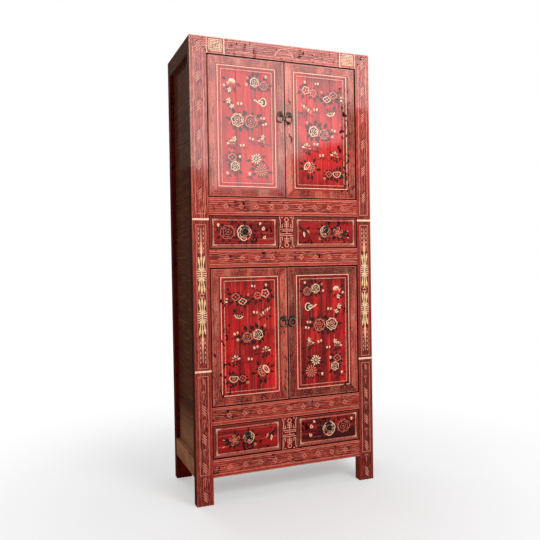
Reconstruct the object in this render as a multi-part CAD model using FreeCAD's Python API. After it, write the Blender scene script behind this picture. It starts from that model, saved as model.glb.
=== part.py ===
import FreeCAD, Part
import math
import os

# A wedding cabinet: two cupboards and two rows of drawers in one frame of posts and rails.
# Millimetres, +Z up, the front faces -Y. The origin is on the floor under the middle of the
# whole cabinet's box, with the ring pulls counted in its depth.

# Whole cabinet
WIDTH = 820.0
BODY_DEPTH = 400.0  # front of the front posts to the back of the rear posts
HEIGHT = 1900.0

# Posts and rails
POST_WIDTH = 70.0
POST_DEPTH = 40.0  # the rails between the posts are as deep
POST_ROUND = 2.5  # outer upright edge
LEG_HEIGHT = 110.0  # floor to the bottom rails
RAIL_HEIGHT = 75.0
TOP_RAIL_HEIGHT = 66.0
SIDE_RAIL_THICK = 40.0
DRAWER_OPENING = 138.0
LOWER_DOOR_OPENING = 570.0
DIVIDER_WIDTH = 71.0  # upright between the two drawers of a row

# Joints of the frame
JOINT_GAP = 0.15  # each side of a glued tenon, tongue or shank
TENON_THICK = 12.0
TENON_LENGTH = 30.0  # front and rear rails into the posts
SIDE_TENON_LENGTH = 20.0
TENON_SHOULDER = 12.0  # rail edge to tenon edge
TENON_SETBACK = 18.0  # outer face to tenon
STUB_LENGTH = 10.0  # dividers into the rails
STUB_SHOULDER = 12.0
MITRE_LAYER = 15.0  # face of the top corners, cut to a mitre over the hidden tenon
GROOVE_DEPTH = 8.0
TONGUE_END_GAP = 1.0  # room for a panel to swell in its groove

# Panels and boards
SIDE_RECESS = 18.0  # outer face of the frame to the side panel
SIDE_PANEL_THICK = 12.0
BACK_RECESS = 14.0
BACK_PANEL_THICK = 10.0
TOP_PANEL_THICK = 16.0
TOP_PANEL_DROP = 3.0  # below the top of the rails
TOP_TONGUE_THICK = 6.0
FLOOR_THICK = 12.0
FLOOR_REBATE = 6.0  # how far a floor's edge lies on a rail
SHELF_THICK = 14.0
SHELF_SETBACK = 30.0  # frame face to the shelf's front edge
BEARER_REACH = 15.0  # how far a side bearer comes in past the post
CENTRE_BEARER_WIDTH = 100.0
CLEAT_WIDTH = 30.0
CLEAT_HEIGHT = 30.0
SEAM_WIDTH = 1.6  # V where two boards of a panel meet
SEAM_DEPTH = 1.0
SIDE_SEAM_SHARES = (0.119, 0.234, 0.417, 0.485, 0.570, 0.608, 0.653, 0.797)  # up the sight height
BACK_SEAM_SHARES = (0.21, 0.38, 0.60, 0.79)  # across the sight width
TOP_SEAM_SHARES = (0.30, 0.64)  # front to back
SHELF_SHARES = (0.5, 0.5)  # lower and upper shelf, up their cupboards

# Doors
DOOR_THICK = 22.0
DOOR_RECESS = 2.0  # frame face to door face
DOOR_SIDE_GAP = 3.0
DOOR_TOP_GAP = 4.0
DOOR_BOTTOM_GAP = 3.0
DOOR_MEET_GAP = 2.5
DOOR_ARRIS = 5.0  # pivot edge, in front
DOOR_EDGE = 1.0  # meeting edges
DOOR_FRAME_WIDTH = 33.0
DOOR_MITRE_LAYER = 6.0
DOOR_TENON_LENGTH = 20.0
DOOR_TENON_EDGE = 6.0  # outer edge of the leaf to the tenon
DOOR_TONGUE_SETBACK = 8.0  # door face to the panel's tongue, which is as thick as the tenons
DOOR_TONGUE_THICK = 6.0
DOOR_PANEL_RECESS = 1.5
PANEL_SIDE_GAP = 0.3  # panel face to the frame around it
OUTER_BEAD_INSET = 40.0  # edge of the leaf to the wide raised line
OUTER_BEAD_WIDTH = 6.5
OUTER_BEAD_HEIGHT = 1.0
BEAD_SPACE = 6.0
INNER_BEAD_WIDTH = 4.0
INNER_BEAD_HEIGHT = 0.7
DOOR_SEAM_SHARES = (0.36, 0.69)  # across the panel
PIN_RADIUS = 5.0
PIN_SEAT = 12.0  # depth of a pivot socket
PIN_CLEAR = 0.3
STOP_HEIGHT = 10.0  # lip of the rail behind the top of the doors
STOP_CLEAR = 0.5
TURNING_CLEAR = 0.6  # a turning leaf to the lip behind it

# Drawers
DRAWER_GAP = 1.5
DRAWER_RECESS = 2.0
DRAWER_FRONT_THICK = 20.0
DRAWER_CORNER = 8.0
DRAWER_BEAD_INSET = 13.0
DRAWER_BEAD_WIDTH = 5.5
DRAWER_BEAD_HEIGHT = 1.5
DRAWER_BEAD_CORNER = 6.0
DRAWER_SIDE_HEIGHT = 130.0
DRAWER_SIDE_THICK = 10.0
DRAWER_SIDE_HOUSING = 8.0  # side let into the front
DRAWER_BOTTOM_THICK = 8.0
DRAWER_BOTTOM_LIFT = 8.0
DRAWER_BOTTOM_TONGUE = 4.0
RUN_CLEAR = 0.3  # drawer side over the board it slides on
DRAWER_BACK_GAP = 0.5  # drawer to the back panel, which stops it
GUIDE_HEIGHT = 20.0

# Ring pulls
PLATE_RADIUS = 12.75
PLATE_EDGE_THICK = 0.8
PLATE_THICK = 1.8
EYE_RADIUS = 4.5  # middle of the wire
EYE_WIRE_RADIUS = 1.25
RING_RADIUS = 15.5  # middle of the wire
RING_WIRE_RADIUS = 2.0
RING_CLEAR = 0.3
SHANK_RADIUS = 1.5
CLINCH_LENGTH = 22.0
CLINCH_THICK = 1.2
PLATE_CROWN_SHARE = 0.75  # of the dome's height, halfway in from the rim
PULL_INSET = 19.5  # meeting edge of a door to the middle of its plate
PULL_HEIGHT_SHARE = 0.614  # of a door leaf's height, to the middle of its plate
DRAWER_PULL_LIFT = 17.0  # plate above the middle of the drawer

OVERRUN = 1.0  # how far a cutting shape passes the face that it cuts
SAME_PLACE = 0.01  # two places nearer than this are one
SAME_WAY = 1e-6  # two directions nearer than this are parallel

# Places across, through and up the cabinet
PULL_REACH = PLATE_THICK + 2 * (EYE_RADIUS + EYE_WIRE_RADIUS) - DOOR_RECESS
FRONT = PULL_REACH - (BODY_DEPTH + PULL_REACH) / 2
BACK = FRONT + BODY_DEPTH
INNER_FRONT = FRONT + POST_DEPTH
INNER_BACK = BACK - POST_DEPTH
BACK_PANEL_Y = BACK - BACK_RECESS - BACK_PANEL_THICK
OUTER_X = WIDTH / 2
OPEN_X = OUTER_X - POST_WIDTH
SIDE_RAIL_X = OUTER_X - SIDE_RAIL_THICK
PANEL_X = OUTER_X - SIDE_RECESS - SIDE_PANEL_THICK
LOWER_DRAWER_Z = LEG_HEIGHT + RAIL_HEIGHT
LOWER_DOOR_Z = LOWER_DRAWER_Z + DRAWER_OPENING + RAIL_HEIGHT
UPPER_DRAWER_Z = LOWER_DOOR_Z + LOWER_DOOR_OPENING + RAIL_HEIGHT
UPPER_DOOR_Z = UPPER_DRAWER_Z + DRAWER_OPENING + RAIL_HEIGHT
TOP_RAIL_Z = HEIGHT - TOP_RAIL_HEIGHT

# The underside and the top of each rail
BOTTOM_RAIL = (LEG_HEIGHT, LOWER_DRAWER_Z)
LOWER_RAIL = (LOWER_DRAWER_Z + DRAWER_OPENING, LOWER_DOOR_Z)
MIDDLE_RAIL = (LOWER_DOOR_Z + LOWER_DOOR_OPENING, UPPER_DRAWER_Z)
UPPER_RAIL = (UPPER_DRAWER_Z + DRAWER_OPENING, UPPER_DOOR_Z)
TOP_RAIL = (TOP_RAIL_Z, HEIGHT)

# The pivot line of a left-hand door
PIVOT_X = -OPEN_X + DOOR_SIDE_GAP + DOOR_THICK / 2
PIVOT_Y = FRONT + DOOR_RECESS + DOOR_THICK / 2


def vec(x, y, z):
    return FreeCAD.Vector(x, y, z)


def block(x0, x1, y0, y1, z0, z1):
    """A square-edged piece between two corners."""
    return Part.makeBox(x1 - x0, y1 - y0, z1 - z0, vec(x0, y0, z0))


def grown(box, gap):
    """The box of a mortise: the tenon's box and its gap all round."""
    x0, x1, y0, y1, z0, z1 = box
    return (x0 - gap, x1 + gap, y0 - gap, y1 + gap, z0 - gap, z1 + gap)


def mirrored(shape):
    """The right-hand twin of a left-hand piece."""
    return shape.mirror(vec(0, 0, 0), vec(1, 0, 0))


def turned_to_back(shape):
    """A piece of the front frame carried to the same place in the rear frame."""
    return shape.mirror(vec(0, (FRONT + BACK) / 2, 0), vec(0, 1, 0))


def face_prism(points, y0, y1):
    """A flat outline of (x, z) points, seen from the front, between two depths."""
    corners = [vec(x, y0, z) for x, z in points]
    face = Part.Face(Part.makePolygon(corners + corners[:1]))
    return face.extrude(vec(0, y1 - y0, 0))


def edges_along(shape, direction, test):
    """The straight edges that run along a direction and whose middle passes the test."""
    found = []
    for edge in shape.Edges:
        run = edge.Vertexes[-1].Point - edge.Vertexes[0].Point
        straight = run.Length > 0 and abs(abs(run.normalize().dot(direction)) - 1) < SAME_WAY
        if straight and test(edge.CenterOfMass):
            found.append(edge)
    return found


def near(a, b):
    return abs(a - b) < SAME_PLACE


def seam(start, run, outward):
    """A V along a seam, cut into the face that looks outward."""
    scale = (SEAM_DEPTH + OVERRUN) / SEAM_DEPTH
    side = run.cross(outward)
    side.normalize()
    half = side * (scale * SEAM_WIDTH / 2)
    lip = start + outward * OVERRUN
    points = [lip - half, lip + half, start - outward * SEAM_DEPTH]
    return Part.Face(Part.makePolygon(points + points[:1])).extrude(run)


def rounded_plate(x0, x1, y0, y1, z0, z1, radius):
    """A plate that faces the front, with its four corners rounded."""
    plate = block(x0, x1, y0, y1, z0, z1)
    return plate.makeFillet(radius, edges_along(plate, vec(0, 1, 0), lambda p: True))


def rail_tenon(span):
    """The left tenon of a front rail, as a box."""
    y0 = FRONT + TENON_SETBACK
    return (-OPEN_X - TENON_LENGTH, -OPEN_X, y0, y0 + TENON_THICK,
            span[0] + TENON_SHOULDER, span[1] - TENON_SHOULDER)


def side_tenon(span):
    """The front tenon of the left side rail, as a box."""
    middle = -(OUTER_X + SIDE_RAIL_X) / 2
    return (middle - TENON_THICK / 2, middle + TENON_THICK / 2,
            INNER_FRONT - SIDE_TENON_LENGTH, INNER_FRONT,
            span[0] + TENON_SHOULDER, span[1] - TENON_SHOULDER)


def mitre_outline(x_outer, x_inner, z_inner, z_outer):
    """The corner above the mitre, which a post's face layer gives up to the top rail."""
    over = OVERRUN * (z_outer - z_inner) / abs(x_outer - x_inner)
    out = OVERRUN if x_outer > x_inner else -OVERRUN
    return [(x_inner, z_inner), (x_outer + out, z_outer + over), (x_inner, z_outer + over)]


def front_left_post(spans, mitred):
    """One post with its mortises, and the groove that holds the side panel."""
    post = block(-OUTER_X, -OPEN_X, FRONT, INNER_FRONT, 0, HEIGHT)
    corner = edges_along(post, vec(0, 0, 1), lambda p: near(p.x, -OUTER_X) and near(p.y, FRONT))
    post = post.makeFillet(POST_ROUND, corner)
    if mitred:
        outline = mitre_outline(-OUTER_X, -OPEN_X, TOP_RAIL_Z, HEIGHT)
        post = post.cut(face_prism(outline, FRONT - OVERRUN, FRONT + MITRE_LAYER))
    for span in spans:
        post = post.cut(block(*grown(rail_tenon(span), JOINT_GAP)))
    for span in (BOTTOM_RAIL, TOP_RAIL):
        post = post.cut(block(*grown(side_tenon(span), JOINT_GAP)))
    groove = block(-PANEL_X - SIDE_PANEL_THICK - JOINT_GAP, -PANEL_X + JOINT_GAP,
                   INNER_FRONT - GROOVE_DEPTH, INNER_FRONT + OVERRUN,
                   LOWER_DRAWER_Z - GROOVE_DEPTH, TOP_RAIL_Z + GROOVE_DEPTH)
    return post.cut(groove)


def back_panel_groove(z0, z1):
    """Groove in the left rear post for one back panel."""
    return block(-OPEN_X - GROOVE_DEPTH, -OPEN_X + OVERRUN,
                 BACK_PANEL_Y - JOINT_GAP, BACK_PANEL_Y + BACK_PANEL_THICK + JOINT_GAP,
                 z0 - GROOVE_DEPTH, z1 + GROOVE_DEPTH)


def rear_left_post():
    post = turned_to_back(front_left_post((BOTTOM_RAIL, MIDDLE_RAIL, TOP_RAIL), False))
    for low, high in ((BOTTOM_RAIL, MIDDLE_RAIL), (MIDDLE_RAIL, TOP_RAIL)):
        post = post.cut(back_panel_groove(low[1], high[0]))
    return post


def plain_rail(span):
    """A rail between the front posts, with a tenon at each end."""
    tenon = block(*rail_tenon(span))
    rail = block(-OPEN_X, OPEN_X, FRONT, INNER_FRONT, *span)
    return rail.fuse([tenon, mirrored(tenon)]).removeSplitter()


def stub_box(drawer_z, top):
    """The tenon at one end of the upright between two drawers, as a box."""
    half = DIVIDER_WIDTH / 2 - STUB_SHOULDER
    y0 = FRONT + TENON_SETBACK
    z0 = drawer_z + DRAWER_OPENING if top else drawer_z - STUB_LENGTH
    return (-half, half, y0, y0 + TENON_THICK, z0, z0 + STUB_LENGTH)


def pivot_socket(z0, z1):
    """The bore that one door pin turns in."""
    return Part.makeCylinder(PIN_RADIUS + PIN_CLEAR, z1 - z0, vec(PIVOT_X, PIVOT_Y, z0))


def turning_room(z0, z1):
    """The space that a turning leaf's rounded front edge sweeps behind its pivot line."""
    swing = math.sqrt(2) * (DOOR_THICK / 2 - DOOR_ARRIS) + DOOR_ARRIS
    return Part.makeCylinder(swing + TURNING_CLEAR, z1 - z0, vec(PIVOT_X, PIVOT_Y, z0))


def pair(shape):
    return [shape, mirrored(shape)]


def with_floor_rebate(rail, top):
    """The step in a front rail that a floor board lies in."""
    return rail.cut(block(-OPEN_X - OVERRUN, OPEN_X + OVERRUN, INNER_FRONT - FLOOR_REBATE,
                          INNER_FRONT + OVERRUN, top - FLOOR_THICK, top + OVERRUN))


def with_door_stop(rail, underside):
    """The lip that the doors close against, hollowed where they turn, and their upper sockets."""
    y0 = FRONT + DOOR_RECESS + DOOR_THICK + STOP_CLEAR
    lip = block(-OPEN_X, OPEN_X, y0, INNER_FRONT, underside - STOP_HEIGHT, underside)
    lip = lip.cut(pair(turning_room(underside - STOP_HEIGHT - OVERRUN, underside + OVERRUN)))
    rail = rail.fuse(lip).removeSplitter()
    return rail.cut(pair(pivot_socket(underside - OVERRUN, underside + PIN_SEAT)))


def with_lower_sockets(rail, top):
    return rail.cut(pair(pivot_socket(top - PIN_SEAT, top + OVERRUN)))


def bottom_front_rail():
    rail = with_floor_rebate(plain_rail(BOTTOM_RAIL), BOTTOM_RAIL[1])
    return rail.cut(block(*grown(stub_box(LOWER_DRAWER_Z, False), JOINT_GAP)))


def rail_over_drawers(span, drawer_z):
    rail = with_floor_rebate(with_lower_sockets(plain_rail(span), span[1]), span[1])
    return rail.cut(block(*grown(stub_box(drawer_z, True), JOINT_GAP)))


def rail_over_lower_doors():
    rail = with_floor_rebate(plain_rail(MIDDLE_RAIL), MIDDLE_RAIL[1])
    rail = with_door_stop(rail, MIDDLE_RAIL[0])
    return rail.cut(block(*grown(stub_box(UPPER_DRAWER_Z, False), JOINT_GAP)))


def with_top_groove(rail):
    """The groove for the top panel's tongue, in a rail of the front or rear frame."""
    z1 = tongue_top()
    return rail.cut(block(-OPEN_X, OPEN_X, INNER_FRONT - GROOVE_DEPTH, INNER_FRONT + OVERRUN,
                          z1 - TOP_TONGUE_THICK - JOINT_GAP, z1 + JOINT_GAP))


def tongue_top():
    """The upper face of the top panel's tongue, in the middle of the panel's thickness."""
    return HEIGHT - TOP_PANEL_DROP - (TOP_PANEL_THICK - TOP_TONGUE_THICK) / 2


def top_front_rail():
    """The frieze rail: its face runs out to the mitres, its core ends at the posts."""
    outline = [(-OPEN_X, TOP_RAIL_Z), (OPEN_X, TOP_RAIL_Z), (OUTER_X, HEIGHT), (-OUTER_X, HEIGHT)]
    face = face_prism(outline, FRONT, FRONT + MITRE_LAYER)
    rail = plain_rail(TOP_RAIL).fuse(face).removeSplitter()
    return with_top_groove(with_door_stop(rail, TOP_RAIL_Z))


def rear_rails():
    """Three rails of the rear frame, grooved for the back panels."""
    rails = []
    for span in (BOTTOM_RAIL, MIDDLE_RAIL, TOP_RAIL):
        rail = plain_rail(span)
        rail = with_top_groove(rail) if span is TOP_RAIL else with_floor_rebate(rail, span[1])
        rail = turned_to_back(rail)
        for low, high in ((BOTTOM_RAIL, MIDDLE_RAIL), (MIDDLE_RAIL, TOP_RAIL)):
            if span in (low, high):
                groove = block(-OPEN_X, OPEN_X, BACK_PANEL_Y - JOINT_GAP,
                               BACK_PANEL_Y + BACK_PANEL_THICK + JOINT_GAP,
                               low[1] - GROOVE_DEPTH, high[0] + GROOVE_DEPTH)
                rail = rail.cut(groove)
        rails.append(rail)
    return rails


def divider(drawer_z):
    half = DIVIDER_WIDTH / 2
    post = block(-half, half, FRONT, INNER_FRONT, drawer_z, drawer_z + DRAWER_OPENING)
    stubs = [block(*stub_box(drawer_z, top)) for top in (False, True)]
    return post.fuse(stubs).removeSplitter()


def side_rail(span):
    """A left side rail between the front and rear posts."""
    rail = block(-OUTER_X, -SIDE_RAIL_X, INNER_FRONT, INNER_BACK, *span)
    tenon = block(*side_tenon(span))
    rail = rail.fuse([tenon, turned_to_back(tenon)]).removeSplitter()
    low = TOP_RAIL_Z if span is TOP_RAIL else LOWER_DRAWER_Z
    x0 = -PANEL_X - SIDE_PANEL_THICK - JOINT_GAP
    rail = rail.cut(block(x0, -PANEL_X + JOINT_GAP, INNER_FRONT - OVERRUN, INNER_BACK + OVERRUN,
                          low - GROOVE_DEPTH, low + GROOVE_DEPTH))
    if span is TOP_RAIL:
        z1 = tongue_top()
        rail = rail.cut(block(-SIDE_RAIL_X - GROOVE_DEPTH, -SIDE_RAIL_X + OVERRUN,
                              INNER_FRONT - OVERRUN, INNER_BACK + OVERRUN,
                              z1 - TOP_TONGUE_THICK - JOINT_GAP, z1 + JOINT_GAP))
    return rail


def side_panel():
    """Level boards edge to edge, held in grooves all round."""
    tongue = GROOVE_DEPTH - TONGUE_END_GAP
    y0 = INNER_FRONT - tongue
    y1 = INNER_BACK + tongue
    panel = block(-PANEL_X - SIDE_PANEL_THICK, -PANEL_X, y0, y1,
                  LOWER_DRAWER_Z - tongue, TOP_RAIL_Z + tongue)
    run = vec(0, y1 - y0 + 2 * OVERRUN, 0)
    cuts = []
    for share in SIDE_SEAM_SHARES:
        z = LOWER_DRAWER_Z + share * (TOP_RAIL_Z - LOWER_DRAWER_Z)
        cuts.append(seam(vec(-PANEL_X - SIDE_PANEL_THICK, y0 - OVERRUN, z), run, vec(-1, 0, 0)))
        cuts.append(seam(vec(-PANEL_X, y0 - OVERRUN, z), run, vec(1, 0, 0)))
    return panel.cut(cuts)


def back_panel(z0, z1):
    """Upright boards edge to edge, in the grooves of the rear frame."""
    tongue = GROOVE_DEPTH - TONGUE_END_GAP
    y1 = BACK_PANEL_Y + BACK_PANEL_THICK
    panel = block(-OPEN_X - tongue, OPEN_X + tongue, BACK_PANEL_Y, y1, z0 - tongue, z1 + tongue)
    run = vec(0, 0, z1 - z0 + 2 * GROOVE_DEPTH)
    cuts = []
    for share in BACK_SEAM_SHARES:
        x = OPEN_X * (2 * share - 1)
        cuts.append(seam(vec(x, y1, z0 - GROOVE_DEPTH), run, vec(0, 1, 0)))
        cuts.append(seam(vec(x, BACK_PANEL_Y, z0 - GROOVE_DEPTH), run, vec(0, -1, 0)))
    return panel.cut(cuts)


def top_panel():
    """The boards of the top, a little below the rails around them, on a tongue."""
    z1 = HEIGHT - TOP_PANEL_DROP
    panel = block(-SIDE_RAIL_X, SIDE_RAIL_X, INNER_FRONT, INNER_BACK, z1 - TOP_PANEL_THICK, z1)
    tongue = GROOVE_DEPTH - TONGUE_END_GAP
    t1 = tongue_top()
    across = block(-SIDE_RAIL_X - tongue, SIDE_RAIL_X + tongue, INNER_FRONT, INNER_BACK,
                   t1 - TOP_TONGUE_THICK, t1)
    along = block(-OPEN_X + JOINT_GAP, OPEN_X - JOINT_GAP, INNER_FRONT - tongue,
                  INNER_BACK + tongue, t1 - TOP_TONGUE_THICK, t1)
    panel = panel.fuse([across, along]).removeSplitter()
    run = vec(2 * SIDE_RAIL_X + 2 * OVERRUN, 0, 0)
    start_x = -SIDE_RAIL_X - OVERRUN
    for share in TOP_SEAM_SHARES:
        y = INNER_FRONT + share * (INNER_BACK - INNER_FRONT)
        panel = panel.cut(seam(vec(start_x, y, z1), run, vec(0, 0, 1)))
    return panel


def board(top, thick, half_width, y_front, y_back):
    """A floor or shelf, wide between the posts and narrower where it passes them."""
    wide = block(-half_width, half_width, INNER_FRONT, INNER_BACK, top - thick, top)
    narrow = OPEN_X - JOINT_GAP
    long_part = block(-narrow, narrow, y_front, y_back, top - thick, top)
    return wide.fuse(long_part).removeSplitter()


def floor(span, half_width, rear_rail):
    """A floor board whose front edge lies in its rail, and its rear edge where one is there."""
    lap = FLOOR_REBATE - JOINT_GAP
    y_back = INNER_BACK + lap if rear_rail else BACK_PANEL_Y - JOINT_GAP
    return board(span[1], FLOOR_THICK, half_width, INNER_FRONT - lap, y_back)


def shelf(door_z, opening, share):
    z = door_z + share * opening + SHELF_THICK / 2
    return board(z, SHELF_THICK, PANEL_X - JOINT_GAP, FRONT + SHELF_SETBACK,
                 BACK_PANEL_Y - JOINT_GAP)


def bearers(span, outer_x, rear_rail):
    """Three battens under a floor. Over drawers they also keep an open drawer from tipping."""
    z1 = span[1] - FLOOR_THICK
    side = block(-outer_x, -OPEN_X + BEARER_REACH, INNER_FRONT, INNER_BACK, span[0], z1)
    half = CENTRE_BEARER_WIDTH / 2
    y_back = INNER_BACK if rear_rail else BACK_PANEL_Y
    return pair(side) + [block(-half, half, INNER_FRONT, y_back, span[0], z1)]


def shelf_cleats(door_z, opening, share):
    z1 = door_z + share * opening - SHELF_THICK / 2
    return pair(block(-PANEL_X, -PANEL_X + CLEAT_WIDTH, INNER_FRONT, INNER_BACK,
                      z1 - CLEAT_HEIGHT, z1))


def drawer_guides(drawer_z):
    """Strips that steer the drawers: one at each side and one behind the divider."""
    z1 = drawer_z + GUIDE_HEIGHT
    side = block(-PANEL_X, -OPEN_X, INNER_FRONT, INNER_BACK, drawer_z, z1)
    half = DIVIDER_WIDTH / 2
    return pair(side) + [block(-half, half, INNER_FRONT, BACK_PANEL_Y, drawer_z, z1)]


def leaf_span(door_z, opening):
    """Bottom and top of a door leaf."""
    return door_z + DOOR_BOTTOM_GAP, door_z + opening - DOOR_TOP_GAP


def leaf_blank(z0, z1):
    """The outside of a left-hand leaf, its pivot edge rounded so that it clears the post."""
    x0 = -OPEN_X + DOOR_SIDE_GAP
    x1 = -DOOR_MEET_GAP / 2
    y0 = FRONT + DOOR_RECESS
    y1 = y0 + DOOR_THICK
    blank = block(x0, x1, y0, y1, z0, z1)
    up = vec(0, 0, 1)
    blank = blank.makeFillet(DOOR_ARRIS, edges_along(
        blank, up, lambda p: near(p.x, x0) and near(p.y, y0)))
    blank = blank.makeFillet(DOOR_THICK / 2, edges_along(
        blank, up, lambda p: near(p.x, x0) and near(p.y, y1)))
    return blank.makeFillet(DOOR_EDGE, edges_along(blank, up, lambda p: near(p.x, x1)))


def pin(z0, z1):
    return Part.makeCylinder(PIN_RADIUS, z1 - z0, vec(PIVOT_X, PIVOT_Y, z0))


def door_frame(door_z, opening, pull_z):
    """Two stiles and two rails: mitred on the face, tenoned behind it, grooved for the panel."""
    z0, z1 = leaf_span(door_z, opening)
    x0 = -OPEN_X + DOOR_SIDE_GAP
    x1 = -DOOR_MEET_GAP / 2
    y0 = FRONT + DOOR_RECESS
    layer = y0 + DOOR_MITRE_LAYER
    width = DOOR_FRAME_WIDTH
    blank = leaf_blank(z0, z1)
    tongue_y = y0 + DOOR_TONGUE_SETBACK
    groove = block(x0 + width - GROOVE_DEPTH, x1 - width + GROOVE_DEPTH,
                   tongue_y - JOINT_GAP, tongue_y + DOOR_TONGUE_THICK + JOINT_GAP,
                   z0 + width - GROOVE_DEPTH, z1 - width + GROOVE_DEPTH)
    members = {"stiles": [], "rails": []}
    tenons = []
    for xo, xi in ((x0, x0 + width), (x1, x1 - width)):
        outline = [(xo, z0), (xi, z0 + width), (xi, z1 - width), (xo, z1)]
        lap = face_prism(outline, y0, layer)
        core = block(min(xo, xi), max(xo, xi), layer, y0 + DOOR_THICK, z0, z1)
        members["stiles"].append(lap.fuse(core).common(blank))
    for zo, zi in ((z0, z0 + width), (z1, z1 - width)):
        outline = [(x0, zo), (x0 + width, zi), (x1 - width, zi), (x1, zo)]
        lap = face_prism(outline, y0, layer)
        core = block(x0 + width, x1 - width, layer, y0 + DOOR_THICK, min(zo, zi), max(zo, zi))
        far = zo + DOOR_TENON_EDGE if zo < zi else zo - DOOR_TENON_EDGE
        near_panel = zi - GROOVE_DEPTH - JOINT_GAP if zo < zi else zi + GROOVE_DEPTH + JOINT_GAP
        box = (x0 + width - DOOR_TENON_LENGTH, x1 - width + DOOR_TENON_LENGTH,
               tongue_y, tongue_y + DOOR_TONGUE_THICK, min(far, near_panel), max(far, near_panel))
        tenons.append(box)
        rail = lap.fuse(core).common(blank).cut(groove)
        members["rails"].append(rail.fuse(block(*box)).removeSplitter())
    stiles = []
    for stile in members["stiles"]:
        stile = stile.cut([groove] + [block(*grown(box, JOINT_GAP)) for box in tenons])
        stiles.append(stile.removeSplitter())
    reach = PIN_SEAT - PIN_CLEAR
    pins = [pin(z0 - DOOR_BOTTOM_GAP - reach, z0), pin(z1, z1 + DOOR_TOP_GAP + reach)]
    stiles[0] = stiles[0].fuse(pins).removeSplitter()
    stiles[1] = stiles[1].cut(shank_hole(x1 - PULL_INSET, pull_z))
    return stiles + members["rails"]


def frame_line(x0, x1, z0, z1, width, y0, y1):
    """A raised line round a rectangle."""
    outer = block(x0, x1, y0, y1, z0, z1)
    return outer.cut(block(x0 + width, x1 - width, y0 - OVERRUN, y1 + OVERRUN,
                           z0 + width, z1 - width))


def door_panel(door_z, opening):
    """Upright boards in the door's grooves, nearly flush, with two raised lines."""
    z0, z1 = leaf_span(door_z, opening)
    x0 = -OPEN_X + DOOR_SIDE_GAP
    x1 = -DOOR_MEET_GAP / 2
    y0 = FRONT + DOOR_RECESS
    face = y0 + DOOR_PANEL_RECESS
    tongue_y = y0 + DOOR_TONGUE_SETBACK
    back = tongue_y + DOOR_TONGUE_THICK
    inset = DOOR_FRAME_WIDTH + PANEL_SIDE_GAP
    reach = DOOR_FRAME_WIDTH - GROOVE_DEPTH + TONGUE_END_GAP
    panel = block(x0 + inset, x1 - inset, face, back, z0 + inset, z1 - inset)
    panel = panel.fuse(block(x0 + reach, x1 - reach, tongue_y, back, z0 + reach, z1 - reach))
    panel = panel.removeSplitter()
    run = vec(0, 0, z1 - z0)
    for share in DOOR_SEAM_SHARES:
        x = x0 + share * (x1 - x0)
        panel = panel.cut([seam(vec(x, face, z0), run, vec(0, -1, 0)),
                           seam(vec(x, back, z0), run, vec(0, 1, 0))])
    wide = OUTER_BEAD_INSET
    thin = wide + OUTER_BEAD_WIDTH + BEAD_SPACE
    lines = [
        frame_line(x0 + wide, x1 - wide, z0 + wide, z1 - wide, OUTER_BEAD_WIDTH,
                   face - OUTER_BEAD_HEIGHT, face + SEAM_DEPTH),
        frame_line(x0 + thin, x1 - thin, z0 + thin, z1 - thin, INNER_BEAD_WIDTH,
                   face - INNER_BEAD_HEIGHT, face + SEAM_DEPTH),
    ]
    return panel.fuse(lines).removeSplitter()


def drawer_span(drawer_z):
    """Left, right, bottom and top of a left-hand drawer front."""
    return (-OPEN_X + DRAWER_GAP, -DIVIDER_WIDTH / 2 - DRAWER_GAP,
            drawer_z + DRAWER_GAP, drawer_z + DRAWER_OPENING - DRAWER_GAP)


def side_boxes(drawer_z):
    """The two sides of a left-hand drawer, as boxes."""
    x0, x1, _, _ = drawer_span(drawer_z)
    y0 = FRONT + DRAWER_RECESS + DRAWER_FRONT_THICK - DRAWER_SIDE_HOUSING
    y1 = BACK_PANEL_Y - DRAWER_BACK_GAP
    z0 = drawer_z + RUN_CLEAR
    thick = DRAWER_SIDE_THICK
    return [(xa, xa + thick, y0, y1, z0, z0 + DRAWER_SIDE_HEIGHT) for xa in (x0, x1 - thick)]


def bottom_box(drawer_z):
    """The bottom of a left-hand drawer, with its edges in the grooves, as a box."""
    x0, x1, _, _ = drawer_span(drawer_z)
    grip = DRAWER_SIDE_THICK - DRAWER_BOTTOM_TONGUE
    z0 = drawer_z + RUN_CLEAR + DRAWER_BOTTOM_LIFT
    y0 = FRONT + DRAWER_RECESS + DRAWER_FRONT_THICK - DRAWER_BOTTOM_TONGUE
    y1 = BACK_PANEL_Y - DRAWER_BACK_GAP - grip
    return (x0 + grip, x1 - grip, y0, y1, z0, z0 + DRAWER_BOTTOM_THICK)


def drawer_front(drawer_z):
    """A solid front with rounded corners and a raised bead, let in at the back for the box."""
    x0, x1, z0, z1 = drawer_span(drawer_z)
    face = FRONT + DRAWER_RECESS
    front = rounded_plate(x0, x1, face, face + DRAWER_FRONT_THICK, z0, z1, DRAWER_CORNER)
    inset = DRAWER_BEAD_INSET
    inner = inset + DRAWER_BEAD_WIDTH
    crest = face - DRAWER_BEAD_HEIGHT
    outer = rounded_plate(x0 + inset, x1 - inset, crest, face + DRAWER_BEAD_HEIGHT,
                          z0 + inset, z1 - inset, DRAWER_BEAD_CORNER + DRAWER_BEAD_WIDTH)
    bead = outer.cut(rounded_plate(x0 + inner, x1 - inner, crest - OVERRUN, face + OVERRUN
                                   + DRAWER_BEAD_HEIGHT, z0 + inner, z1 - inner,
                                   DRAWER_BEAD_CORNER))
    rims = [e for e in bead.Edges if near(e.BoundBox.YMax, crest)]
    bead = bead.makeChamfer(DRAWER_BEAD_HEIGHT / 2, rims)
    front = front.fuse(bead).removeSplitter()
    housings = [block(*grown(box, JOINT_GAP)) for box in side_boxes(drawer_z) + [bottom_box(drawer_z)]]
    hole = shank_hole((x0 + x1) / 2, drawer_pull_z(drawer_z))
    return front.cut(housings + [hole])


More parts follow.
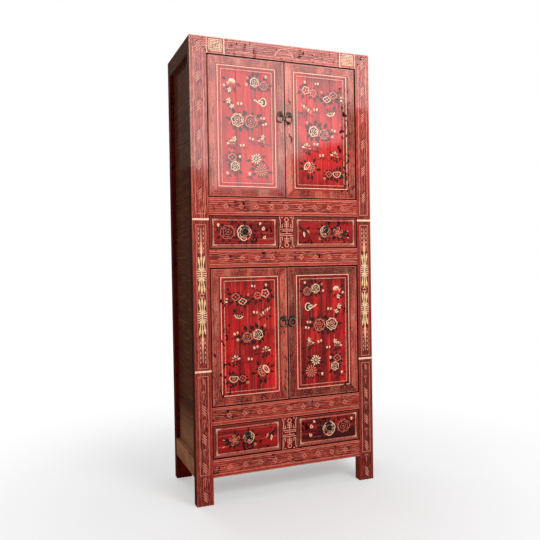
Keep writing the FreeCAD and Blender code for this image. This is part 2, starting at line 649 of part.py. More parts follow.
def drawer_box(drawer_z):
    """Two sides, a back and a bottom, as separate pieces."""
    sides = side_boxes(drawer_z)
    bottom = bottom_box(drawer_z)
    slot = block(*grown(bottom, JOINT_GAP))
    y1 = sides[0][3]
    rear = block(sides[0][1], sides[1][0], y1 - DRAWER_SIDE_THICK, y1, sides[0][4], sides[0][5])
    walls = [block(*box) for box in sides] + [rear]
    return [wall.cut(slot) for wall in walls] + [block(*bottom)]


def drawer_pull_z(drawer_z):
    return drawer_z + DRAWER_OPENING / 2 + DRAWER_PULL_LIFT


def shank_hole(x, z):
    """The bore through a door stile or a drawer front for a pull's shank."""
    length = DOOR_THICK + DRAWER_FRONT_THICK + POST_DEPTH
    return Part.makeCylinder(SHANK_RADIUS + JOINT_GAP, length, vec(x, FRONT - OVERRUN, z),
                             vec(0, 1, 0))


def pull_plate(x, z, face, thick):
    """A domed round plate and the eye staple that holds it, clinched behind the wood."""
    hole = SHANK_RADIUS + JOINT_GAP
    crown = PLATE_EDGE_THICK + PLATE_CROWN_SHARE * (PLATE_THICK - PLATE_EDGE_THICK)
    heel = vec(x + hole, face, z)
    rim = vec(x + PLATE_RADIUS, face, z)
    lip = vec(x + PLATE_RADIUS, face - PLATE_EDGE_THICK, z)
    collar = vec(x + hole, face - PLATE_THICK, z)
    swell = vec(x + (hole + PLATE_RADIUS) / 2, face - crown, z)
    outline = Part.Wire([Part.LineSegment(heel, rim).toShape(), Part.LineSegment(rim, lip).toShape(),
                         Part.Arc(lip, swell, collar).toShape(),
                         Part.LineSegment(collar, heel).toShape()])
    plate = Part.Face(outline).revolve(vec(x, face, z), vec(0, 1, 0), 360)
    eye_y = face - PLATE_THICK - EYE_RADIUS - EYE_WIRE_RADIUS
    eye = Part.makeTorus(EYE_RADIUS, EYE_WIRE_RADIUS, vec(x, eye_y, z), vec(1, 0, 0))
    back = face + thick
    y0 = eye_y + EYE_RADIUS
    shank = Part.makeCylinder(SHANK_RADIUS, back + CLINCH_THICK - y0, vec(x, y0, z), vec(0, 1, 0))
    clinch = block(x - SHANK_RADIUS, x + SHANK_RADIUS, back, back + CLINCH_THICK,
                   z - CLINCH_LENGTH / 2, z + CLINCH_LENGTH / 2)
    return [plate, eye.fuse([shank, clinch]).removeSplitter()]


def pull_ring(x, z, face):
    """The ring, hanging in the eye with its running clearance."""
    eye_y = face - PLATE_THICK - EYE_RADIUS - EYE_WIRE_RADIUS
    drop = EYE_RADIUS - EYE_WIRE_RADIUS - RING_WIRE_RADIUS - RING_CLEAR
    centre = vec(x, eye_y, z - drop - RING_RADIUS)
    return Part.makeTorus(RING_RADIUS, RING_WIRE_RADIUS, centre, vec(0, 1, 0))


def frame_nodes():
    left = {
        "front_post": front_left_post((BOTTOM_RAIL, LOWER_RAIL, MIDDLE_RAIL, UPPER_RAIL, TOP_RAIL), True),
        "rear_post": rear_left_post(),
        "top_side_rail": side_rail(TOP_RAIL),
        "bottom_side_rail": side_rail(BOTTOM_RAIL),
        "side_panel": side_panel(),
    }
    nodes = {}
    for name, shape in left.items():
        nodes[name + "_left"] = shape
        nodes[name + "_right"] = mirrored(shape)
    nodes["top_front_rail"] = top_front_rail()
    nodes["upper_drawer_top_rail"] = rail_over_drawers(UPPER_RAIL, UPPER_DRAWER_Z)
    nodes["upper_drawer_bottom_rail"] = rail_over_lower_doors()
    nodes["lower_drawer_top_rail"] = rail_over_drawers(LOWER_RAIL, LOWER_DRAWER_Z)
    nodes["bottom_front_rail"] = bottom_front_rail()
    nodes["upper_drawer_divider"] = divider(UPPER_DRAWER_Z)
    nodes["lower_drawer_divider"] = divider(LOWER_DRAWER_Z)
    nodes["rear_rails"] = rear_rails()
    nodes["back_panels"] = [back_panel(BOTTOM_RAIL[1], MIDDLE_RAIL[0]),
                            back_panel(MIDDLE_RAIL[1], TOP_RAIL[0])]
    nodes["top_panel"] = top_panel()
    return nodes


def inside_nodes():
    between_panels = PANEL_X - JOINT_GAP
    upper_opening = TOP_RAIL_Z - UPPER_DOOR_Z
    lower_share, upper_share = SHELF_SHARES
    battens = bearers(BOTTOM_RAIL, SIDE_RAIL_X, True) + bearers(LOWER_RAIL, PANEL_X, False)
    battens += bearers(MIDDLE_RAIL, PANEL_X, True) + bearers(UPPER_RAIL, PANEL_X, False)
    battens += shelf_cleats(LOWER_DOOR_Z, LOWER_DOOR_OPENING, lower_share)
    battens += shelf_cleats(UPPER_DOOR_Z, upper_opening, upper_share)
    return {
        "lower_drawer_floor": floor(BOTTOM_RAIL, SIDE_RAIL_X - JOINT_GAP, True),
        "lower_cupboard_floor": floor(LOWER_RAIL, between_panels, False),
        "upper_drawer_floor": floor(MIDDLE_RAIL, between_panels, True),
        "upper_cupboard_floor": floor(UPPER_RAIL, between_panels, False),
        "lower_shelf": shelf(LOWER_DOOR_Z, LOWER_DOOR_OPENING, lower_share),
        "upper_shelf": shelf(UPPER_DOOR_Z, upper_opening, upper_share),
        "bearers_and_cleats": battens,
        "drawer_guides": drawer_guides(LOWER_DRAWER_Z) + drawer_guides(UPPER_DRAWER_Z),
    }


def door_nodes(row, door_z, opening):
    z0, z1 = leaf_span(door_z, opening)
    pull_x = -DOOR_MEET_GAP / 2 - PULL_INSET
    pull_z = z0 + PULL_HEIGHT_SHARE * (z1 - z0)
    face = FRONT + DOOR_RECESS
    return both_sides(row, "door", {
        "frame": door_frame(door_z, opening, pull_z),
        "panel": door_panel(door_z, opening),
        "pull_plate": pull_plate(pull_x, pull_z, face, DOOR_THICK),
        "pull_ring": pull_ring(pull_x, pull_z, face),
    })


def drawer_nodes(row, drawer_z):
    x0, x1, _, _ = drawer_span(drawer_z)
    pull_x = (x0 + x1) / 2
    pull_z = drawer_pull_z(drawer_z)
    face = FRONT + DRAWER_RECESS
    return both_sides(row, "drawer", {
        "front": drawer_front(drawer_z),
        "box": drawer_box(drawer_z),
        "pull_plate": pull_plate(pull_x, pull_z, face, DRAWER_FRONT_THICK),
        "pull_ring": pull_ring(pull_x, pull_z, face),
    })


def both_sides(row, kind, pieces):
    """The left-hand pieces and their right-hand twins, by name."""
    nodes = {}
    for piece, shapes in pieces.items():
        shapes = shapes if isinstance(shapes, list) else [shapes]
        nodes[f"{row}_left_{kind}_{piece}"] = shapes
        nodes[f"{row}_right_{kind}_{piece}"] = [mirrored(shape) for shape in shapes]
    return nodes


def solids_of(shapes):
    """The bare solids of a node: one solid, or one compound of several."""
    shapes = shapes if isinstance(shapes, list) else [shapes]
    solids = [solid for shape in shapes for solid in shape.Solids]
    return solids[0] if len(solids) == 1 else Part.makeCompound(solids)


def main():
    nodes = {**frame_nodes(), **inside_nodes()}
    nodes.update(door_nodes("upper", UPPER_DOOR_Z, TOP_RAIL_Z - UPPER_DOOR_Z))
    nodes.update(door_nodes("lower", LOWER_DOOR_Z, LOWER_DOOR_OPENING))
    nodes.update(drawer_nodes("upper", UPPER_DRAWER_Z))
    nodes.update(drawer_nodes("lower", LOWER_DRAWER_Z))
    os.makedirs("parts", exist_ok=True)
    for name, shapes in nodes.items():
        solids_of(shapes).exportStep(f"parts/{name}.step")
    print(len(nodes), "nodes")


main()
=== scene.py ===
"""A tall wedding cabinet in worn red lacquer, with painted flowers and gilt ornament."""
import math
import random
from collections import namedtuple

import bpy
from mathutils import Color, Euler, Matrix, Vector


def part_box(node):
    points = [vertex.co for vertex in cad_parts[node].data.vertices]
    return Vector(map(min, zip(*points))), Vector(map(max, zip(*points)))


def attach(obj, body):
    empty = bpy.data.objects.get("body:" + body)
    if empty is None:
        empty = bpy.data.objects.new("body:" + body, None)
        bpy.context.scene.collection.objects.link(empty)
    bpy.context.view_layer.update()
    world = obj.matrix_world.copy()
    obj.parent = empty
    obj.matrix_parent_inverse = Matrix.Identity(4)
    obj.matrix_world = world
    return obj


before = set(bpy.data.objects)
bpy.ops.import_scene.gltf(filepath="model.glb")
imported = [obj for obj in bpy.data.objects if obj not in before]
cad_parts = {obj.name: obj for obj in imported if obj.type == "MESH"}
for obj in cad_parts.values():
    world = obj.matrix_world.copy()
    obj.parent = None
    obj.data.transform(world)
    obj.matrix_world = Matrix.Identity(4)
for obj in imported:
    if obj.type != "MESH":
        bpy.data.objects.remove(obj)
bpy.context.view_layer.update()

bl_info = {
    "name": "Wedding cabinet finish",
    "version": (1, 0, 0),
    "blender": (4, 5, 0),
    "location": "3D View > Sidebar > Cabinet",
    "description": "Lacquers a wedding cabinet and paints its flowers, frets and gilt ornament",
    "category": "Object",
}

MM = 0.001
ROWS = ("lower", "upper")
SIDES = ("left", "right")
HANDS = {"left": -1, "right": 1}

# Places that the frame gives
POST_LOW, POST_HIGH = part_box("front_post_right")
REAR_POST_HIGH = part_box("rear_post_right")[1]
PANEL_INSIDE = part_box("side_panel_right")[0].x
FRONT = POST_LOW.y
INNER_FRONT = POST_HIGH.y
BACK = REAR_POST_HIGH.y
OPEN_X = POST_LOW.x
OUTER_X = POST_HIGH.x
HEIGHT = POST_HIGH.z
POST_X = (OPEN_X + OUTER_X) / 2
BOTTOM_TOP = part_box("bottom_front_rail")[1].z
LOWER_RAIL_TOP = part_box("lower_drawer_top_rail")[1].z
MIDDLE_RAIL_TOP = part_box("upper_drawer_bottom_rail")[1].z
UPPER_RAIL_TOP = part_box("upper_drawer_top_rail")[1].z
DIVIDER_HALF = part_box("upper_drawer_divider")[1].x

# How far behind the front the inner faces of a door panel, a door frame and a drawer front start
PANEL_DEPTH = 0.014
LEAF_DEPTH = 0.0235
DRAWER_DEPTH = 0.012

# The fine line of the rails: its width, its distance from the lower and the upper edge of a rail
# and half the width of the field that it outlines on the frieze
RAIL_LINE = 0.0025
RAIL_LINE_RISE = 0.0125
RAIL_LINE_DROP = 0.0080
FIELD_HALF = 0.2485


def size(name, description, mm):
    """A length that can be set in the sidebar."""
    return bpy.props.FloatProperty(name=name, description=description, default=mm * MM,
                                   min=0.0, subtype="DISTANCE", unit="LENGTH")


def tint(name, description, red, green, blue):
    """A colour that can be set in the sidebar, given as it looks, in 0 to 255."""
    return bpy.props.FloatVectorProperty(name=name, description=description, size=3,
                                         default=(red / 255, green / 255, blue / 255),
                                         min=0.0, max=1.0, subtype="COLOR_GAMMA")


class CabinetSizes(bpy.types.PropertyGroup):
    """Sizes of the painted lines, bands and relief"""
    rail_height: size("Rail height", "Height of the face of a rail between the cupboards", 75)
    top_rail_height: size("Frieze height", "Height of the face of the top rail", 66)
    leg_height: size("Leg height", "Floor to the bottom rail", 110)
    frame_width: size("Door frame width", "Width of a door's stiles and rails", 33)
    outer_bead_height: size("Cream bead height", "How far the cream bead stands up", 1)
    inner_bead_inset: size("Inner bead inset", "Edge of a door to its inner bead", 52.5)
    cream_line_inset: size("Cream line inset", "Edge of a door to its cream line", 40.8)
    cream_line_width: size("Cream line width", "Width of a door's cream line", 2.8)
    pink_line_inset: size("Pink line inset", "Edge of a door to its pink line", 55.6)
    pink_line_width: size("Pink line width", "Width of a door's pink line", 2.8)
    drawer_bead_inset: size("Drawer bead inset", "Edge of a drawer front to its bead", 13)
    drawer_bead_width: size("Drawer bead width", "Width of a drawer front's bead", 5.5)
    drawer_bead_height: size("Drawer bead height", "How far the drawer bead stands up", 1.5)
    line_inset: size("Post line inset", "Edge of a post to the line painted on it", 14)
    line_width: size("Post line width", "Width of the line painted on the posts", 2.6)
    comb_spacing: size("Comb spacing", "Distance between two combed lines of the lacquer", 7.5)
    # The pale edge is a painted highlight on the posts' outer arris
    arris_highlight_width: size("Worn edge width", "Width of the pale worn edge of the front posts", 3.5)
    paint_base: size("Paint", "Thickness of the paint of an ornament", 0.16)
    paint_lift: size("Paint layer", "How much higher each brush stroke lies than the last", 0.018)
    post_band: size("Post band", "Height of the cream bands across the posts", 8)
    upper_band_z: size("Upper post band", "Floor to the middle of the upper cream band", 1165)
    lower_band_z: size("Lower post band", "Floor to the middle of the lower cream band", 548)
    lozenge_pitch: size("Lozenge pitch", "Distance between two lozenges of the posts", 118)
    star_pitch: size("Star pitch", "Distance between two stars of the rails", 67)


class CabinetColours(bpy.types.PropertyGroup):
    """Colours of the lacquers and paints"""
    field_red: tint("Field red", "Lacquer of the door panels", 212, 38, 36)
    field_worn: tint("Field dark red", "Where the panels' lacquer has darkened", 104, 20, 20)
    margin_red: tint("Margin red", "Margins beside the beads of the doors", 150, 20, 22)
    stile_red: tint("Door frame", "Lacquer of the door frames", 208, 92, 74)
    stile_bright: tint("Door rail red", "Lacquer of the rails of the door frames", 196, 54, 44)
    stile_dull: tint("Door frame dull", "Duller streaks of the door frames", 112, 42, 34)
    post_red: tint("Post red", "Lacquer of the posts", 172, 42, 34)
    post_worn: tint("Post dark red", "Where posts and rails have darkened", 100, 34, 28)
    rail_red: tint("Rail red", "Lacquer of the rails", 178, 54, 42)
    rear_red: tint("Rear red", "Old red on the rear posts", 120, 22, 18)
    comb_pale: tint("Combed line", "Pale combed lines of posts and rails", 220, 130, 108)
    comb_dark: tint("Comb groove", "Dark hollows between the combed lines", 74, 16, 14)
    drawer_red: tint("Drawer red", "Lacquer of the drawer fronts", 172, 29, 29)
    drawer_worn: tint("Drawer dark red", "Where the drawer fronts have darkened", 70, 12, 12)
    # The margin is the front's own darker band, made darker still as painted shade beside the drawer
    drawer_margin: tint("Drawer margin", "Worn edge round the drawer fronts", 108, 22, 20)
    drawer_bead: tint("Drawer bead", "Worn lines of the drawer fronts", 204, 112, 92)
    divider_red: tint("Divider red", "Ground of the uprights between drawers", 132, 20, 20)
    cream: tint("Cream", "Cream paint", 246, 211, 174)
    pink: tint("Pink", "Pink paint", 216, 132, 106)
    blush: tint("Blush", "Pale pink paint", 238, 180, 148)
    orange: tint("Orange pink", "Orange-pink paint", 216, 120, 92)
    wine: tint("Wine", "Dark red paint inside the flowers", 84, 16, 16)
    leaf: tint("Leaf", "Near-black leaves and stems", 46, 25, 20)
    gilt: tint("Gilt", "Gold paint", 240, 204, 150)
    # Besides chips, dark streaks and joints, this dark is painted shade: in the gaps round doors, drawers
    # and rails, and under the rings
    dark_wood_and_shade: tint("Chip", "Dark wood where the lacquer has chipped", 34, 14, 11)
    brown: tint("Brown lacquer", "Dark lacquer of the sides and the back", 76, 36, 24)
    brown_dark: tint("Dark brown lacquer", "Darker streaks of the sides and the back", 50, 26, 18)
    # The paler brown also paints the floor's reflection on the lower side rails and the foot of the side
    # panels
    brown_pale: tint("Worn brown", "Paler worn brown of the lower rails and edges", 158, 108, 78)
    wood: tint("Wood", "Bare wood inside", 158, 118, 80)
    stain: tint("Inner stain", "Stained wood inside the doors", 112, 66, 46)
    brass: tint("Brass", "Darkened brass of the plates", 38, 31, 27)
    fret_pink: tint("Fret", "Lines of the fret between the drawers", 232, 158, 132)
    brass_ring: tint("Ring brass", "Brass of the rings", 92, 76, 66)
    brass_bright: tint("Rubbed brass", "Brass where fingers rub it", 172, 152, 132)
    floor: tint("Floor", "The plain floor", 244, 244, 244)


def sizes():
    return bpy.context.scene.cabinet_sizes


def colour(name):
    """A colour of the sidebar as the shader wants it."""
    picked = Color(getattr(bpy.context.scene.cabinet_colours, name)).from_srgb_to_scene_linear()
    return (*picked, 1.0)


# Shader building

class Tree:
    """Nodes of one material or group, named by what feeds each socket."""

    def __init__(self, tree):
        self.nodes = tree.nodes
        self.links = tree.links

    def feed(self, socket, value):
        if isinstance(value, bpy.types.NodeSocket):
            self.links.new(value, socket)
        elif value is not None:
            socket.default_value = value

    def add(self, kind, feeds=None, **settings):
        node = self.nodes.new("ShaderNode" + kind)
        for key, value in settings.items():
            setattr(node, key, value)
        for key, value in (feeds or {}).items():
            self.feed(node.inputs[key], value)
        return node

    def math(self, operation, a, b=None, c=None):
        return self.add("Math", {0: a, 1: b, 2: c}, operation=operation).outputs[0]

    def product(self, first, *others):
        for other in others:
            first = self.math("MULTIPLY", first, other)
        return first

    def highest(self, first, *others):
        for other in others:
            first = self.math("MAXIMUM", first, other)
        return first

    def vector(self, x=0.0, y=0.0, z=0.0):
        return self.add("CombineXYZ", {0: x, 1: y, 2: z}).outputs[0]

    def times(self, vector, scale):
        return self.add("VectorMath", {0: vector, 1: scale}, operation="MULTIPLY").outputs[0]

    def ramp(self, value, low, high, floor=0.0, top=1.0):
        """Goes smoothly from floor to top while the value rises from low to high."""
        node = self.add("MapRange", {"Value": value, "From Min": low, "From Max": high,
                                     "To Min": floor, "To Max": top},
                        interpolation_type="SMOOTHSTEP")
        return node.outputs[0]

    def between(self, value, low, high, soft=0.0003):
        """1 between two values and 0 outside them."""
        rise = self.ramp(value, low - soft, low + soft)
        fall = self.ramp(value, high - soft, high + soft, 1.0, 0.0)
        return self.product(rise, fall)

    def nearer(self, value, low, high):
        """How far a value is inside the nearer of two limits."""
        return self.math("MINIMUM", self.math("SUBTRACT", value, low),
                         self.math("SUBTRACT", high, value))

    def mix(self, amount, a, b):
        return self.add("Mix", {0: amount, 6: a, 7: b}, data_type="RGBA").outputs[2]

    def blend(self, amount, a, b):
        """Mixes two plain numbers."""
        return self.add("Mix", {0: amount, 2: a, 3: b}).outputs[0]

    def noise(self, vector, scale, detail=3.0, rough=0.55):
        node = self.add("TexNoise", {"Vector": vector, "Scale": scale, "Detail": detail,
                                     "Roughness": rough})
        return node.outputs[0]

    def seen(self):
        """1 for a ray from the camera, out of a mirror or through glass."""
        rays = self.add("LightPath").outputs
        return self.highest(rays["Is Camera Ray"], rays["Is Glossy Ray"],
                            rays["Is Transmission Ray"])

    def place(self):
        """Object coordinates, whole and split."""
        vector = self.add("TexCoord").outputs["Object"]
        split = self.add("SeparateXYZ", {0: vector})
        return vector, split.outputs[0], split.outputs[1], split.outputs[2]

    def effect(self, tree, feeds):
        """A shared effect with its own values here."""
        node = self.add("Group", node_tree=tree)
        for key, value in feeds.items():
            self.feed(node.inputs[key], value)
        return node.outputs


GROUPS = {}


def shared_effect(name, inputs, outputs):
    """Makes a node group once, with named sockets, from the function under it."""
    def keep(build):
        def get():
            if name not in GROUPS:
                tree = bpy.data.node_groups.new(name, "ShaderNodeTree")
                for label, kind in inputs.items():
                    tree.interface.new_socket(label, in_out="INPUT", socket_type="NodeSocket" + kind)
                for label, kind in outputs.items():
                    tree.interface.new_socket(label, in_out="OUTPUT", socket_type="NodeSocket" + kind)
                kit = Tree(tree)
                entry = kit.nodes.new("NodeGroupInput")
                leave = kit.nodes.new("NodeGroupOutput")
                for label, socket in build(kit, entry.outputs).items():
                    kit.feed(leave.inputs[label], socket)
                GROUPS[name] = tree
            return GROUPS[name]
        return get
    return keep


@shared_effect("Lacquer ground",
               {"Place": "Vector", "Grain": "Vector", "Sound": "Color", "Streak": "Color",
                "Pale": "Color", "Dark": "Color", "Streaks": "Float", "Patches": "Float",
                "Chips": "Float"},
               {"Color": "Color", "Height": "Float", "Worn": "Float"})
def lacquer_ground(kit, given):
    """Lacquer streaked along the grain, dulled in patches and chipped to the dark wood."""
    broad = kit.ramp(kit.noise(given["Grain"], 0.45, 4.0, 0.6), 0.40, 0.62)
    streak = kit.ramp(kit.noise(given["Grain"], 1.5, 5.0, 0.66), 0.46, 0.62)
    light = kit.ramp(kit.noise(given["Grain"], 1.9, 3.0), 0.56, 0.66)
    fine = kit.noise(given["Grain"], 4.0, 4.0, 0.6)
    patch = kit.ramp(kit.noise(given["Place"], 9.0, 4.0, 0.6), 0.44, 0.64)
    spots = kit.noise(kit.times(given["Place"], (1.0, 1.0, 0.55)), 90.0, 2.5, 0.55)
    where = kit.ramp(kit.noise(given["Place"], 14.0, 3.0), 0.36, 0.60)
    level = kit.ramp(kit.product(where, given["Chips"]), 0.0, 0.85, 0.74, 0.545)
    chip = kit.ramp(kit.math("SUBTRACT", spots, level), 0.0, 0.05)
    stained = kit.mix(kit.product(broad, given["Patches"]), given["Sound"], given["Streak"])
    dulled = kit.mix(kit.product(patch, given["Patches"], 0.8), stained, given["Streak"])
    streaked = kit.mix(kit.product(streak, given["Streaks"]), dulled, given["Streak"])
    streaked = kit.mix(kit.product(light, given["Streaks"], 0.34), streaked, given["Pale"])
    scored = kit.product(kit.ramp(fine, 0.54, 0.66), kit.math("MULTIPLY_ADD", streak, 0.6, 0.4),
                         given["Streaks"])
    grained = kit.mix(kit.product(scored, 0.6), streaked, given["Dark"])
    height = kit.math("SUBTRACT", kit.product(fine, 0.5), chip)
    return {"Color": kit.mix(chip, grained, given["Dark"]), "Height": height, "Worn": chip}


@shared_effect("Combed lines",
               {"Along": "Float", "Across": "Float", "Spacing": "Float", "Wander": "Float",
                "Seed": "Float"},
               {"Line": "Float", "Hollow": "Float"})
def combed_lines(kit, given):
    """Wavy lines that a comb drew in the wet lacquer, rubbed away here and there."""
    spot_at = kit.vector(kit.product(given["Along"], 12.0), kit.product(given["Across"], 34.0),
                         given["Seed"])
    wave = kit.math("SUBTRACT", kit.noise(spot_at, 1.0, 2.0), 0.5)
    across = kit.math("MULTIPLY_ADD", wave, given["Wander"], given["Across"])
    phase = kit.math("DIVIDE", across, given["Spacing"])
    tooth = kit.math("PINGPONG", phase, 0.5)
    rubbed = kit.noise(kit.vector(kit.product(given["Along"], 30.0), kit.product(phase, 0.9),
                                  given["Seed"]), 1.0, 3.0)
    line = kit.product(kit.ramp(tooth, 0.05, 0.24, 1.0, 0.0), kit.ramp(rubbed, 0.42, 0.56))
    hollow = kit.product(kit.ramp(tooth, 0.28, 0.44), kit.ramp(rubbed, 0.40, 0.62, 1.0, 0.25))
    return {"Line": line, "Hollow": hollow}


@shared_effect("Edge inset",
               {"X": "Float", "Z": "Float", "Left": "Float", "Right": "Float",
                "Bottom": "Float", "Top": "Float"},
               {"Inset": "Float", "Level": "Float", "Mitre": "Float"})
def edge_inset(kit, given):
    """How far a point lies inside a rectangle, and whether a level edge is the nearest."""
    sideways = kit.nearer(given["X"], given["Left"], given["Right"])
    upward = kit.nearer(given["Z"], given["Bottom"], given["Top"])
    gap = kit.math("SUBTRACT", sideways, upward)
    seam = kit.ramp(kit.math("ABSOLUTE", gap), 0.0004, 0.0014, 1.0, 0.0)
    return {"Inset": kit.math("MINIMUM", sideways, upward),
            "Level": kit.math("GREATER_THAN", gap, 0.0), "Mitre": seam}


@shared_effect("Worn paint",
               {"Place": "Vector", "Paint": "Color", "Under": "Color", "Wear": "Float"},
               {"Color": "Color", "Sound": "Float"})
def worn_paint(kit, given):
    """Brushed paint, thin in places and rubbed through to what lies under it."""
    brush = kit.noise(given["Place"], 120.0, 4.0, 0.6)
    rub = kit.noise(given["Place"], 260.0, 4.0, 0.7)
    thin = kit.product(kit.ramp(brush, 0.42, 0.68), given["Wear"], 0.6)
    gone = kit.product(kit.ramp(rub, 0.56, 0.64), given["Wear"])
    lost = kit.highest(thin, gone)
    return {"Color": kit.mix(lost, given["Paint"], given["Under"]),
            "Sound": kit.math("SUBTRACT", 1.0, lost)}


COAT_ROUGHNESS = 0.09
COAT = 0.32
BODY_ROUGHNESS = 0.55
SIDE_COAT = 0.01
RELIEF = 0.0005


class Finish:
    """One material: its tree, its surface and its relief."""

    def __init__(self, name):
        self.material = bpy.data.materials.new(name)
        self.material.use_nodes = True
        self.material.node_tree.nodes.clear()
        self.kit = Tree(self.material.node_tree)
        self.shader = self.kit.add("BsdfPrincipled")
        self.out = self.kit.add("OutputMaterial")
        self.kit.feed(self.out.inputs["Surface"], self.shader.outputs[0])

    def surface(self, paint, roughness, gloss, coat, height=None, relief=RELIEF):
        """Sets colour, sheen and relief. The relief is in metres."""
        kit = self.kit
        inputs = self.shader.inputs
        kit.feed(inputs["Base Color"], paint)
        kit.feed(inputs["Roughness"], roughness)
        inputs["Specular IOR Level"].default_value = gloss
        kit.feed(inputs["Coat Weight"], coat)
        inputs["Coat Roughness"].default_value = COAT_ROUGHNESS
        if height is not None:
            bump = kit.add("Bump", {"Height": height, "Strength": 1.0, "Distance": relief})
            kit.feed(inputs["Normal"], bump.outputs[0])
        return self.material

    def lacquer(self, paint, height, worn=0.0):
        """Clear lacquer over the paint, duller low down and gone where it is worn."""
        kit = self.kit
        up = kit.place()[3]
        kept = kit.ramp(up, 0.30, 1.25, 0.40, 1.0)
        coat = kit.product(kit.ramp(worn, 0.0, 1.0, COAT, 0.02), kept)
        return self.surface(paint, BODY_ROUGHNESS, 0.0, coat, height)


def stretched(kit, vector, along, across=58.0, length=3.2):
    """Object coordinates drawn out along one axis, for grain."""
    scale = [across] * 3
    scale["xyz".index(along)] = length
    return kit.times(vector, tuple(scale))


def ground(kit, vector, along, sound, streak, streaks, patches, chips, pale="comb_pale", dark="dark_wood_and_shade"):
    """The lacquer ground with colours of the sidebar."""
    return kit.effect(lacquer_ground(), {
        "Place": vector, "Grain": stretched(kit, vector, along), "Sound": colour(sound),
        "Streak": colour(streak), "Pale": colour(pale), "Dark": colour(dark),
        "Streaks": streaks, "Patches": patches, "Chips": chips})


def behind_front(kit, y, depth, soft=0.001):
    """1 on what lies further behind the front than a depth, and 0 before it."""
    return kit.ramp(y, FRONT + depth, FRONT + depth + soft)


def stained_wood(kit, vector, along):
    """Colour of the inner faces of the doors and the drawer fronts."""
    return ground(kit, vector, along, "stain", "dark_wood_and_shade", 0.5, 0.3, 0.0, "wood")["Color"]


def combed(kit, paint, along, across, wander, strength, seed):
    """Paint with the combed lines on it, and their relief."""
    lines = kit.effect(combed_lines(), {
        "Along": along, "Across": across, "Spacing": sizes().comb_spacing, "Wander": wander,
        "Seed": seed})
    dark = kit.mix(kit.product(lines["Hollow"], strength), paint, colour("comb_dark"))
    pale = kit.mix(kit.product(lines["Line"], strength), dark, colour("comb_pale"))
    return pale, kit.math("SUBTRACT", lines["Line"], lines["Hollow"])


def painted_line(kit, vector, paint, mask, name, wear):
    """A painted line over the paint, worn through in places."""
    line = kit.effect(worn_paint(), {"Place": vector, "Paint": colour(name), "Under": paint,
                                     "Wear": wear})
    return kit.mix(mask, paint, line["Color"])


def inset_of(kit, x, up, edges):
    """The edge inset of a leaf or a drawer front."""
    left, right, bottom, top = edges
    return kit.effect(edge_inset(), {"X": x, "Z": up, "Left": left, "Right": right,
                                     "Bottom": bottom, "Top": top})


# How worn each leaf is: dark patches of its panel, dullness of its left and right stile
# and of its rails, and chips
LeafWear = namedtuple("LeafWear", "dark left right rails chips")
LEAF_WEAR_SHARES = {("upper", "left"): LeafWear(0.25, 0.05, 0.55, 0.35, -0.1),
                    ("upper", "right"): LeafWear(0.55, 0.05, 0.55, 0.35, 1.0),
                    ("lower", "left"): LeafWear(0.70, 0.50, 0.0, 0.40, 1.0),
                    ("lower", "right"): LeafWear(1.0, 1.2, 0.35, 1.2, 0.5)}

# The painted lines stand a little nearer to the bottom and the top edge than to the sides
LINE_RISE = {"upper": (0.0, 0.006), "lower": (0.004, 0.005)}


def door_panel_finish(row, side, edges):
    """Red boards with a cream and a pink line on the beads round the painted field."""
    z = sizes()
    wear = LEAF_WEAR_SHARES[row, side]
    finish = Finish(f"{row} {side} door panel lacquer")
    kit = finish.kit
    vector, x, y, up = kit.place()
    inset = inset_of(kit, x, up, edges)["Inset"]
    left, right, bottom, top = edges
    outer_edge = left if side == "left" else right
    reach = kit.math("ABSOLUTE", kit.math("SUBTRACT", x, outer_edge))
    high_end = kit.ramp(up, bottom + 0.62 * (top - bottom), bottom + 0.95 * (top - bottom), 1.0, 0.0)
    hem = kit.ramp(inset, z.inner_bead_inset, z.inner_bead_inset + 0.035, 1.0, 0.0)
    beside = kit.product(kit.ramp(reach, 0.055, 0.105, 1.0, 0.0), high_end)
    chipped = kit.math("MULTIPLY_ADD", beside, 1.6 * wear.chips, 0.25 + 0.1 * wear.chips)
    patches = kit.math("MULTIPLY_ADD", hem, 0.3, wear.dark)
    streaks = 0.70 if (row, side) == ("lower", "left") else 0.50
    base = ground(kit, vector, "z", "field_red", "field_worn", streaks, patches, chipped)
    margin = kit.ramp(inset, z.pink_line_inset, z.pink_line_inset + 0.0010, 0.35, 0.0)
    paint = kit.mix(margin, base["Color"], colour("margin_red"))
    by_frame = kit.ramp(inset, z.frame_width + 0.002, z.frame_width + 0.003, 0.55, 0.0)
    paint = kit.mix(by_frame, paint, colour("stile_red"))
    fall, rise = LINE_RISE[row]
    drawn = inset_of(kit, x, up, (left, right, bottom - fall, top + rise))["Inset"]
    cream = kit.between(drawn, z.cream_line_inset, z.cream_line_inset + z.cream_line_width)
    pink = kit.between(drawn, z.pink_line_inset, z.pink_line_inset + z.pink_line_width)
    paint = painted_line(kit, vector, paint, cream, "cream", 0.5)
    paint = painted_line(kit, vector, paint, kit.product(pink, 0.8), "blush", 0.9)
    paint = kit.mix(base["Worn"], paint, colour("dark_wood_and_shade"))
    inside = behind_front(kit, y, PANEL_DEPTH, 0.0005)
    paint = kit.mix(inside, paint, stained_wood(kit, vector, "z"))
    return finish.lacquer(paint, base["Height"], kit.highest(inside, base["Worn"]))


# The painted shadow of a ring, in metres: how far it lies to the left and below, and how far it reaches
# within and past the ring's radius
RING_SHADOW_LEFT = 0.0035
RING_SHADOW_DOWN = 0.0030
RING_SHADOW_WITHIN = 0.0050
RING_SHADOW_PAST = 0.0010


def ring_shadow(kit, x, up, ring):
    """A painted shadow: a dark arc on the lacquer below and to the left of a hanging ring."""
    low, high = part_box(ring)
    radius = (high.x - low.x) / 2
    off_x = kit.math("ADD", x, RING_SHADOW_LEFT - (low.x + high.x) / 2)
    off_z = kit.math("ADD", up, RING_SHADOW_DOWN - (low.z + high.z) / 2)
    away = kit.math("SQRT", kit.math("ADD", kit.product(off_x, off_x), kit.product(off_z, off_z)))
    return kit.product(kit.between(away, radius - RING_SHADOW_WITHIN, radius + RING_SHADOW_PAST, 0.0010), 0.85)


